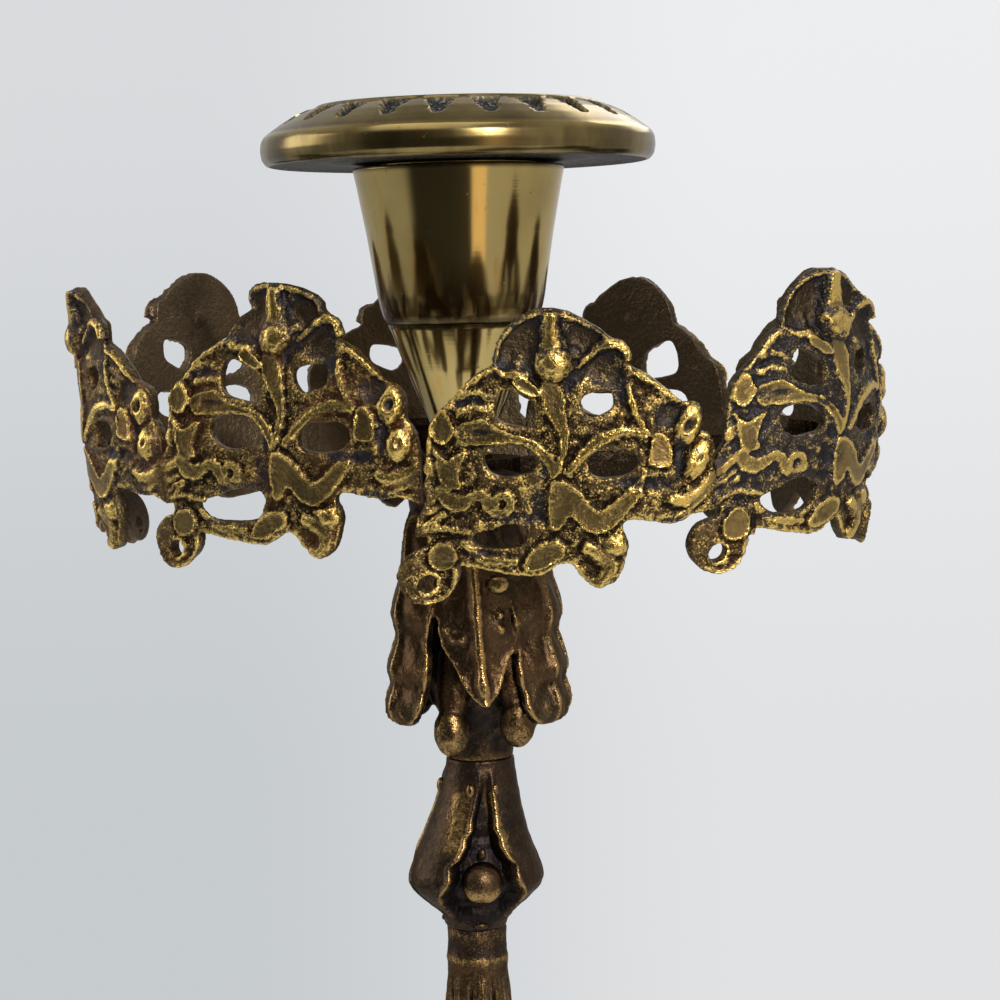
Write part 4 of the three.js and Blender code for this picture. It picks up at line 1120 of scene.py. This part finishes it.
# Half width of a hollow between two shells of the baluster, at heights over the baluster's foot.
HOLLOW_HEIGHTS = [0.8, 1.4, 2.4, 4.2, 5.8, 6.8, 8.6, 10.4, 11.4, 13.2, 14.2, 15.5, 17, 19.5, 22]
HOLLOW_WIDTHS = [2.4, 3.2, 4.5, 6, 6.5, 6.0, 5.0, 4.9, 3.6, 2.5, 2.4, 1.6, 1.5, 1.0, 0.5]


def over_shells(angle, radius):
    """Distance round the baluster from the middle of the nearest hollow."""
    return petals(angle, SHELLS, STEM_TURN) * TAU / SHELLS * radius


class GIRANDOLE_OT_baluster(bpy.types.Operator):
    """Turns the baluster and sinks its hollows between shells with wavy edges"""

    bl_idname = "girandole.baluster"
    bl_label = "Baluster"

    def execute(self, context):
        low, high = stem_heights("baluster")
        piece = spun("baluster_cast", softened(stem_profile("baluster"), 0.22, 3), 360)

        def change(angle, height, radius):
            rise = height - low
            across = over_shells(angle, radius)
            wide = np.interp(rise, HOLLOW_HEIGHTS, HOLLOW_WIDTHS)
            inside = (1 - ease(np.abs(across), wide - 0.55, wide + 0.1)) * ease(rise, 0.6, 1.8)
            depth = 2.7 * np.minimum(1, wide / 3) * ease(radius, 4.6, 8)
            depth += 0.5 * ease(rise, 12, 15) * (1 - ease(rise, 20, 23))
            rim = np.exp(-((np.abs(across) - wide - 0.45) / 0.4) ** 2) * 0.34 * ease(rise, 0.6, 1.8)
            foot_leaf = np.exp(-(across / 1.4) ** 2) * np.exp(-((rise - 0.6) / 0.9) ** 2) * 0.5
            swell = 0.25 * np.sin(np.clip(rise / 25, 0, 1) * math.pi) * ease(np.abs(across), wide, wide + 3)
            hold = (radius > 3) * ease(rise, 0.3, 1.0) * (1 - ease(rise, 22.5, 24.5))
            return radius + hold * (rim + swell - inside * depth) + (radius > 3) * foot_leaf

        shaped(piece, change)
        points = corners_of(piece)
        points[:, 0] += NECK_SHIFT * ease(points[:, 2], low + 10, high)
        put_corners(piece, points)
        radius, angle = around(points)
        rise = points[:, 2] - low
        aside = np.abs(over_shells(angle, radius))
        wide = np.interp(rise, HOLLOW_HEIGHTS, HOLLOW_WIDTHS)
        sanded(piece, 0.05, 1.3, 3)
        # Broad painted highlights lie beside the upper groove, the wider one on its left; outside them the
        # shells are half darkened.
        spread = np.where(over_shells(angle, radius) < 0, 1.9, 1.0)
        beside = np.exp(-((aside - wide - spread) / spread) ** 2)
        beside *= ease(rise, 10.5, 13.5) * (1 - ease(rise, 20, 22))
        ends = ease(rise, 0, 2) * (1 - ease(points[:, 2], high - 2.5, high))
        under = np.exp(-((aside - wide - 0.3) / 0.5) ** 2) * ease(rise, 1, 2) * (1 - ease(rise, 5, 7))
        # Rubbed edges and these painted highlights go into one mark.
        wear = proudness(piece, 24) * 0.3 * ends + 0.23 * beside + 0.12 * under - 0.05
        hollow = 0.9 * (1 - ease(aside, wide - 0.6, wide)) * ease(radius, 4, 5)
        mark(piece, wear=wear, tarnish=np.maximum(hollow, 0.5 * (1 - beside)))
        parts = [piece]
        for k in range(SHELLS):
            turn = STEM_TURN + k * TAU / SHELLS
            boss = egg_at(turn, 6.9, low + 7.8, (3.0, 2.6, 3.1), fine=32)
            # Painted reflection: each boss is drawn bright on its lower half and dark above.
            mark(boss, wear=0.02 + 0.2 * (1 - ease(corners_of(boss)[:, 2], low + 4.9, low + 8.6)))
            parts.append(boss)
            parts.append(egg_at(turn, 7.2, low + 12.1, (0.6, 0.6, 0.85)))
            parts.append(egg_at(turn, 4.9, low + 0.9, (1.0, 0.5, 0.55)))
            for side in (-1, 1):
                middle = outwards(turn + side * 0.33) * 5.3 + Vector((0.6, 0, low + 20.9))
                knob = egg(middle, (0.7, 0.7, 1.2), turn, fine=16)
                # Painted glint: each knob is drawn bright all over.
                mark(knob, wear=0.12)
                parts.append(knob)
        piece = joined(parts, "baluster_cast")
        mark(piece, smooth=0.88, tone=0.35)
        finished(piece, "stand", cast_brass("stem_brass"), ["baluster"], 60)
        return {"FINISHED"}


# The leaf calyx. A leaf's rows, root to tip: distance from the axis, height over the foot, half width.
LEAF_ROWS = [
    (6.6, 38.2, 2.4), (8.4, 36, 3.4), (9.8, 33, 4.4), (10.8, 30, 5.2), (11.4, 27, 5.6), (12.2, 24.5, 6),
    (12.9, 22, 6), (12.2, 20, 4.9), (12, 18.8, 4.4), (12.9, 16.6, 5.6), (13.7, 14.4, 6.1), (13.1, 12.8, 5.2),
    (13, 12, 4.8), (13.8, 10.2, 5.2), (14, 8.6, 4.6), (13.6, 7.4, 3.4), (12.8, 6.6, 1.9), (12, 6.2, 0.5),
]
FRONT_ROWS = [
    (6.6, 38.2, 2.4), (8.4, 36, 3.4), (9.8, 33, 4.6), (10.8, 30, 5.6), (11.4, 27.5, 6.1), (11.9, 25, 6.3),
    (12.2, 22.5, 6.2), (12.4, 20.2, 6), (12.4, 18, 5.4), (12.4, 16.4, 4.1), (12.6, 15, 3.5),
    (12.9, 13.4, 2.9), (13, 11.8, 2.1), (12.9, 10.6, 1.2), (12.8, 9.7, 0.4),
]
# The stalk's profile: radius, and height over the calyx's foot.
STALK = [
    (0, 0), (4.9, 0), (4.95, 3), (5.4, 6), (7, 9), (8.2, 12), (8.5, 24), (8.2, 30), (8.2, 36), (8.4, 37.4),
    (8.5, 38.6),
]
LEAF_TURNS = [-2, 52, 118, 180, 242, 302]  # degrees, the front leaf's first
FRONT_SWAY = 0.12  # how far the front leaf's tip hangs to the right, in radians
# Small beads on the front leaf: distance to the right of its midrib, and height.
BEADS = [(-3.6, 20.3), (-2.5, 20.3), (-2.9, 19.2), (-1.6, 19.2), (3.8, 22.4), (3.2, 21.2), (3.9, 20.4)]
# Buds between the leaves: degrees, height, distance from the axis.
BUDS = [(-24, 5.4, 9.5), (36, 6.4, 9.5), (90, 10, 9), (150, 9, 8.4), (210, 10, 8), (270, 10, 9)]


def acanthus(rows, low, turn, sway=0.0, midrib=0.5):
    """A hanging leaf with a raised midrib of the given half width, side veins and a turned edge."""
    rows = np.array(rows, float)
    count, across = 60, 28
    at = np.linspace(0, len(rows) - 1, count)
    out, height, half = (np.interp(at, np.arange(len(rows)), rows[:, k]) for k in range(3))
    for line in (out, height, half):
        line[1:-1] = (line[:-2] + 2 * line[1:-1] + line[2:]) / 4
    share = np.linspace(0, 1, count)
    front, back = [], []
    for i in range(count):
        for j in range(across + 1):
            side = 2 * j / across - 1
            mid = math.exp(-(side * half[i] / midrib) ** 4) * (0.75 if share[i] > 0.05 else 0.4)
            veins = 0.35 * math.sin(share[i] * 34 - abs(side) * 5.5) * (1 - abs(side)) * min(1, abs(side) * 3)
            edge = math.exp(-((1 - abs(side)) * half[i] / 0.5) ** 2) * 0.35
            bow = -0.16 * half[i] * abs(side)
            angle = turn + side * half[i] / max(out[i], 5) + sway * share[i]
            radius = out[i] + bow
            for line, move in ((front, 0.55 + mid + veins + edge), (back, -0.75)):
                line.append((math.sin(angle) * (radius + move), -math.cos(angle) * (radius + move),
                             low + height[i] - 0.2 * side * side * half[i] * share[i]))
    row = across + 1
    total = len(front)
    faces = []
    for i in range(count - 1):
        for j in range(across):
            a = i * row + j
            faces.append((a, a + row, a + row + 1, a + 1))
            faces.append((total + a, total + a + 1, total + a + row + 1, total + a + row))
        for a in (i * row, i * row + across):
            faces.append((a, a + row, total + a + row, total + a))
    for start in (0, (count - 1) * row):
        for j in range(across):
            faces.append((start + j, start + j + 1, total + start + j + 1, total + start + j))
    return facing_out(drawn("leaf", front + back, [], faces))


class GIRANDOLE_OT_calyx(bpy.types.Operator):
    """Models the calyx: a stalk with six hanging leaves, and buds between them"""

    bl_idname = "girandole.calyx"
    bl_label = "Calyx"

    def execute(self, context):
        low, high = stem_heights("leaf_calyx")
        stalk = [*raised(STALK, low), (8.2, high), (0, high)]
        pieces = [spun("stalk", softened(stalk, 0.8, 1), 48)]
        front, *others = (math.radians(turn) for turn in LEAF_TURNS)
        pieces.append(acanthus(FRONT_ROWS, low, front, FRONT_SWAY, 0.75))
        outward = outwards(front)
        aside = Vector((math.cos(front), math.sin(front), 0))
        for right, height in BEADS:
            middle = outward * (12.7 - abs(right) * 0.25) + aside * right + Vector((0, 0, low + height))
            pieces.append(egg(middle, (0.6, 0.6, 0.6), fine=12))
        pieces.append(egg(outward * 11.6 + aside * 3.7 + Vector((0, 0, low + 26.8)), (1.6, 0.9, 1.3)))
        pieces += [acanthus(LEAF_ROWS, low, turn) for turn in others]
        for turn, height, out in BUDS:
            turn = math.radians(turn)
            pieces.append(egg_at(turn, out, low + height, (2.6, 2.6, 3.7), fine=24))
            pieces.append(egg_at(turn, out - 1.2, low + height + 7.5, (2.5, 2.1, 8.5), -0.16, 24))
        piece = fused(pieces, "leaf_calyx_cast", context.scene.girandole_sizes.calyx_grain, 1)
        points = corners_of(piece)
        points[:, 0] += NECK_SHIFT * (1 - ease(points[:, 2], high - 12, high - 4))
        put_corners(piece, points)
        sanded(piece, 0.07, 1.2, 11)
        wear = proudness(piece, 10)
        radius, angle = around(points, NECK_SHIFT)
        deep = 1 - ease(radius, 8.6, 11.5)
        behind = ease(np.abs(angle), 0.5, 0.8)
        # The front leaf's midrib is rubbed, more so towards the tip.
        down = (FRONT_ROWS[0][1] - points[:, 2] + low) / (FRONT_ROWS[0][1] - FRONT_ROWS[-1][1])
        line = math.radians(LEAF_TURNS[0]) + FRONT_SWAY * down
        rubbed = np.exp(-((angle - line) * radius / 0.9) ** 4) * ease(radius, 11, 12) * ease(down, 0.1, 0.4)
        facing = normals_of(piece)
        outward = facing[:, 0] * np.sin(angle) - facing[:, 1] * np.cos(angle)
        turned_away = (1 - ease(outward, 0.0, 0.45)) * (1 - ease(points[:, 2], high - 8, high - 4))
        dark = np.maximum(0.7 * deep * (1 - ease(wear, 0, 0.1)), 0.85 * turned_away)
        wear = wear * (1 - 0.35 * behind) - 0.08 * deep + 0.1 * rubbed * ease(down, 0, 1) + 0.005
        mark(piece, wear=wear, tarnish=dark, tone=0.5, smooth=0.85)
        finished(piece, "stand", cast_brass("stem_brass"), ["leaf_calyx"], 80)
        return {"FINISHED"}


# Candle cup and nozzle.

# Profiles: radius, and height from the cone's foot, the cup's foot or top, or the pan's foot.
CONE_FOOT = [(0, 0), (3.9, 0), (4.1, 0.4), (4.0, 0.9), (3.6, 1.5), (4.4, 3.6), (5.6, 6.6), (8.2, 12.8)]
CONE_TOP = [(10.6, -0.5), (10.7, 0), (0, 0)]
CUP_OUTSIDE = [
    (1.8, 0.01), (10.6, 0.01), (10.9, 0.2), (11.3, 0.9), (11.7, 2.2), (12.1, 4), (12.55, 7), (13.5, 13),
]
CUP_RIM = [(14.7, -3), (15.1, -1), (15.3, 0), (14.2, 0)]
CUP_INSIDE = [(11.2, 4), (10.6, 3), (1.8, 3), (1.8, 0.01)]
PAN = [
    (19, 0.6), (24.5, 0.4), (26.6, 0), (27.6, 0.2), (28.2, 1), (28.4, 2.2), (28.3, 3.4), (27.9, 4.2),
    (27.0, 4.9), (25.6, 5.9), (23.8, 7), (21.8, 7.9), (20.7, 8.1), (20.4, 8.3), (20.1, 8.6), (19.6, 8.68),
    (19.1, 8.5), (18.8, 8.0), (18.2, 7.4), (16.6, 6.4), (14.6, 5.2),
]
TUBE_WALL = 1.2
FIRST_NOTCH = math.radians(-5.2)  # round the pan from the front
NOTCH_REACH = (20.4, 25.4)  # radius of the notches' inner and outer ends
NOTCH_HALVES = (2.35, 0.75)  # their half widths there


class GIRANDOLE_OT_cup(bpy.types.Operator):
    """Turns the cone and the candle cup"""

    bl_idname = "girandole.cup"
    bl_label = "Candle cup"

    def execute(self, context):
        foot, joint, top = level("cup_cone", 0), level("candle_cup", 0), level("candle_cup", 1)
        rows = raised(CONE_FOOT, foot) + raised(CONE_TOP, joint)
        cone = spun("cup_cone_turned", softened(rows, 0.35, 0), 128)
        mark(cone, film=ease(corners_of(cone)[:, 2], joint - 0.8, joint - 0.4))
        finished(cone, "stand", turned_brass(), ["cup_cone"], 40)
        rows = raised(CUP_OUTSIDE, joint) + raised(CUP_RIM, top) + raised(CUP_INSIDE, joint)
        cup = spun("candle_cup_turned", softened(rows, 0.3, 2), 160)
        heights = corners_of(cup)[:, 2]
        # Painted shade: the cup's top, under the pan, gets the dull film; at its foot the film darkens the
        # joint with the cone.
        film = np.maximum(ease(heights, top - 0.9, top - 0.5), 1 - ease(heights, joint + 0.5, joint + 1.5))
        mark(cup, stain=1 - ease(heights, joint + 1, joint + 10), film=film)
        finished(cup, "stand", turned_brass(), ["candle_cup"], 40)
        dressed("cup_screw", iron())
        return {"FINISHED"}


class GIRANDOLE_OT_nozzle(bpy.types.Operator):
    """Turns the nozzle's pan with its cut notches, and the tube"""

    bl_idname = "girandole.nozzle"
    bl_label = "Nozzle"

    def execute(self, context):
        sizes = context.scene.girandole_sizes
        low = level("nozzle_pan", 0)
        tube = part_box("nozzle_tube")
        bore = (tube[1].x - tube[0].x) / METRES / 2 - TUBE_WALL + 0.01
        rows = raised([(bore, 0), *PAN, (bore + 1.5, 4.4), (bore, 4.4), (bore, 0)], low)
        pan = spun("nozzle_pan_turned", softened(rows, 0.22, 2), 440)
        points = corners_of(pan)
        radius, angle = around(points)
        across = np.abs(petals(angle, sizes.notches, FIRST_NOTCH)) * TAU / sizes.notches * radius
        wobble = noise_at(Vector(p) / 0.9 for p in points)
        half = np.interp(radius, NOTCH_REACH, NOTCH_HALVES) + 0.3 * wobble
        upper = points[:, 2] > low + 4.6
        inside = (1 - ease(across, half - 0.35, half + 0.1)) * upper
        inside *= ease(radius, 20.3, 20.6) * (1 - ease(radius, 24.9, 25.7))
        points[:, 2] -= inside * (sizes.notch_depth * (1 + 0.5 * wobble))
        put_corners(pan, points)
        # Painted shade: the pan's underside is drawn nearly as dark as the floors of the notches.
        below = (1 - ease(points[:, 2], low + 0.5, low + 0.9)) * (1 - ease(radius, 26.8, 27.4))
        # Painted highlight: the dull film is left off the edge above the band, so a bright line runs round
        # it.
        rim = np.exp(-((radius - 27.7) / 0.6) ** 2 - ((points[:, 2] - low - 4.3) / 0.5) ** 2)
        film = 0.95 - 0.75 * rim - 0.3 * ease(points[:, 2], low + 4.8, low + 5.6)
        mark(pan, pit=np.maximum(ease(inside, 0.02, 0.35), 0.85 * below), film=film)
        finished(pan, "nozzle", turned_brass(), ["nozzle_pan"], 40)
        dressed("nozzle_tube", turned_brass())
        return {"FINISHED"}


# Base and stage.


class GIRANDOLE_OT_base(bpy.types.Operator):
    """Gives the marble base and its fastening their materials"""

    bl_idname = "girandole.base"
    bl_label = "Base"

    def execute(self, context):
        for node in ("marble_plinth", "marble_step"):
            dressed(node, marble())
        for node in ("clamp_washer", "clamp_nut", "tie_rod"):
            dressed(node, iron())
        return {"FINISHED"}


CAMERA_PLACE = (0.0056, -0.370, 0.319)
CAMERA_LENS = 91.8
CAMERA_TILT = 4.84  # degrees downwards
CAMERA_ROLL = 1.32
FLOOR_RADIUS = 0.64
WINDOW_COLOUR = (0.76, 0.6, 0.42)
# Painted light and shade on the backdrop: how bright each corner is drawn, seen from the front: low left, low
# right, top left, top right.
CORNER_TINTS = [(0.78, 0.79, 0.79), (1.03, 1, 0.98), (0.95, 0.93, 0.92), (1.15, 1.12, 1.1)]
LAMP_TARGET = Vector((0, 0, 0.3))
# Lamps: watts, width and height, then azimuth and elevation in degrees, and distance.
# Azimuth 0 is the front, and it turns to the right.
LAMPS = {
    "window": (31, 0.47, 0.83, 20, 26, 2),
    "top": (4.2, 1.2, 1.2, -30, 70, 1.4),
    "left": (6.3, 0.9, 0.9, -100, 15, 1.5),
    "rear": (5, 0.9, 0.9, 150, 30, 1.6),
}


def lamp(name, power, wide, tall, azimuth, elevation, distance):
    """A soft box that looks at the gallery."""
    light = bpy.data.lights.new(name, "AREA")
    light.energy = power
    light.shape = "RECTANGLE"
    light.size = wide
    light.size_y = tall
    box = bpy.data.objects.new(name, light)
    turn, up = math.radians(azimuth), math.radians(elevation)
    away = Vector((math.sin(turn) * math.cos(up), -math.cos(turn) * math.cos(up), math.sin(up)))
    box.location = LAMP_TARGET + away * distance
    box.rotation_euler = (-away).to_track_quat("-Z", "Y").to_euler()
    bpy.context.scene.collection.objects.link(box)


def studio(paint, colours):
    """A pale backdrop for the camera, and a dim room for what mirrors it."""
    way = paint.add("ShaderNodeTexCoord", out="Generated")
    east, north, up = (paint.add("ShaderNodeSeparateXYZ", None, {0: way}, out=axis) for axis in range(3))
    seen = paint.add("ShaderNodeLightPath", out="Is Camera Ray")
    mirrored = paint.add("ShaderNodeLightPath", out="Is Glossy Ray")
    # The backdrop is painted darker at the lower left and brighter at the upper right, as light falls on the
    # wall.
    corners = [[c * f for c, f in zip(colours.backdrop, tint)] for tint in CORNER_TINTS]
    across = east.step(-0.12, 0.1)
    wall = paint.mix(up.step(-0.2, 0.1), paint.mix(across, *corners[:2]), paint.mix(across, *corners[2:]))
    # The room behind the camera is dim but for one tall window, and the polished brass shows both.
    azimuth = east.sum("ARCTAN2", east, 0 - north)
    dim = azimuth.step(-1.15, -0.9) * azimuth.step(0.34, 0.22) * (1 - up.step(0.35, 0.8))
    window = azimuth.step(0.25, 0.29) * azimuth.step(0.6, 0.54) * (1 - up.step(0.3, 0.7))
    side = azimuth.step(0.5, 0.7) * azimuth.step(2, 1.6) * (1 - up.step(0.3, 0.7))
    room = 0.72 - dim * 0.66 + window * 0.8 - side * 0.02 - up.step(0.6, 0.95) * 0.38
    wall = paint.mix(mirrored * window, wall, WINDOW_COLOUR)
    strength = seen + mirrored * room + (1 - seen) * (1 - mirrored) * 0.62
    return paint.add("ShaderNodeBackground", None, {"Color": wall, "Strength": strength})


def floor_cloth(paint, colours):
    """Plain cloth that fades out towards the floor's edge."""
    away = paint.add("ShaderNodeVectorMath", {"operation": "LENGTH"}, {0: paint.place()}, out="Value")
    cloth = paint.add("ShaderNodeBsdfDiffuse", None, {"Color": (*colours.backdrop, 1)})
    clear = paint.add("ShaderNodeBsdfTransparent")
    edge = away.step(FLOOR_RADIUS * 0.55, FLOOR_RADIUS * 0.98)
    return paint.add("ShaderNodeMixShader", None, {0: edge, 1: cloth, 2: clear})


class GIRANDOLE_OT_stage(bpy.types.Operator):
    """Makes the floor, the background, the lamps and the camera"""

    bl_idname = "girandole.stage"
    bl_label = "Stage"

    def execute(self, context):
        context.scene.world = bpy.data.worlds.new("studio")
        painted(context.scene.world, "ShaderNodeOutputWorld", studio)
        bpy.ops.object.select_all(action="DESELECT")
        bpy.ops.mesh.primitive_circle_add(vertices=96, radius=FLOOR_RADIUS, fill_type="NGON")
        floor = context.active_object
        floor.name = "floor"
        floor.data.materials.append(new_material("floor", floor_cloth))
        for name, values in LAMPS.items():
            lamp(name, *values)
        lens = bpy.data.cameras.new("camera")
        lens.lens = CAMERA_LENS
        lens.clip_start = 0.01
        camera = bpy.data.objects.new("camera", lens)
        camera.location = CAMERA_PLACE
        camera.rotation_euler = (math.radians(90 - CAMERA_TILT), math.radians(CAMERA_ROLL), 0)
        context.scene.collection.objects.link(camera)
        context.scene.camera = camera
        context.scene.view_settings.view_transform = "Standard"
        return {"FINISHED"}


class GIRANDOLE_PT_panel(bpy.types.Panel):
    """Lists the girandole's sizes, colours and pieces"""

    bl_idname = "GIRANDOLE_PT_panel"
    bl_label = "Girandole"
    bl_space_type = "VIEW_3D"
    bl_region_type = "UI"
    bl_category = "Girandole"

    def draw(self, context):
        for group in (context.scene.girandole_sizes, context.scene.girandole_colours):
            for name in group.bl_rna.properties.keys():
                if name not in ("rna_type", "name"):
                    self.layout.prop(group, name)
        for operator in OPERATORS:
            self.layout.operator(operator.bl_idname)


OPERATORS = [
    GIRANDOLE_OT_stage, GIRANDOLE_OT_base, GIRANDOLE_OT_stem, GIRANDOLE_OT_baluster, GIRANDOLE_OT_calyx,
    GIRANDOLE_OT_gallery, GIRANDOLE_OT_cup, GIRANDOLE_OT_nozzle,
]
CLASSES = [GirandoleSizes, GirandoleColours, *OPERATORS, GIRANDOLE_PT_panel]


def register():
    for each in CLASSES:
        bpy.utils.register_class(each)
    bpy.types.Scene.girandole_sizes = bpy.props.PointerProperty(type=GirandoleSizes)
    bpy.types.Scene.girandole_colours = bpy.props.PointerProperty(type=GirandoleColours)


def unregister():
    del bpy.types.Scene.girandole_colours
    del bpy.types.Scene.girandole_sizes
    for each in reversed(CLASSES):
        bpy.utils.unregister_class(each)


def main():
    register()
    bpy.ops.girandole.stage()
    bpy.ops.girandole.base()
    bpy.ops.girandole.stem()
    bpy.ops.girandole.baluster()
    bpy.ops.girandole.calyx()
    bpy.ops.girandole.gallery()
    bpy.ops.girandole.cup()
    bpy.ops.girandole.nozzle()


if __name__ == "__main__":
    main()
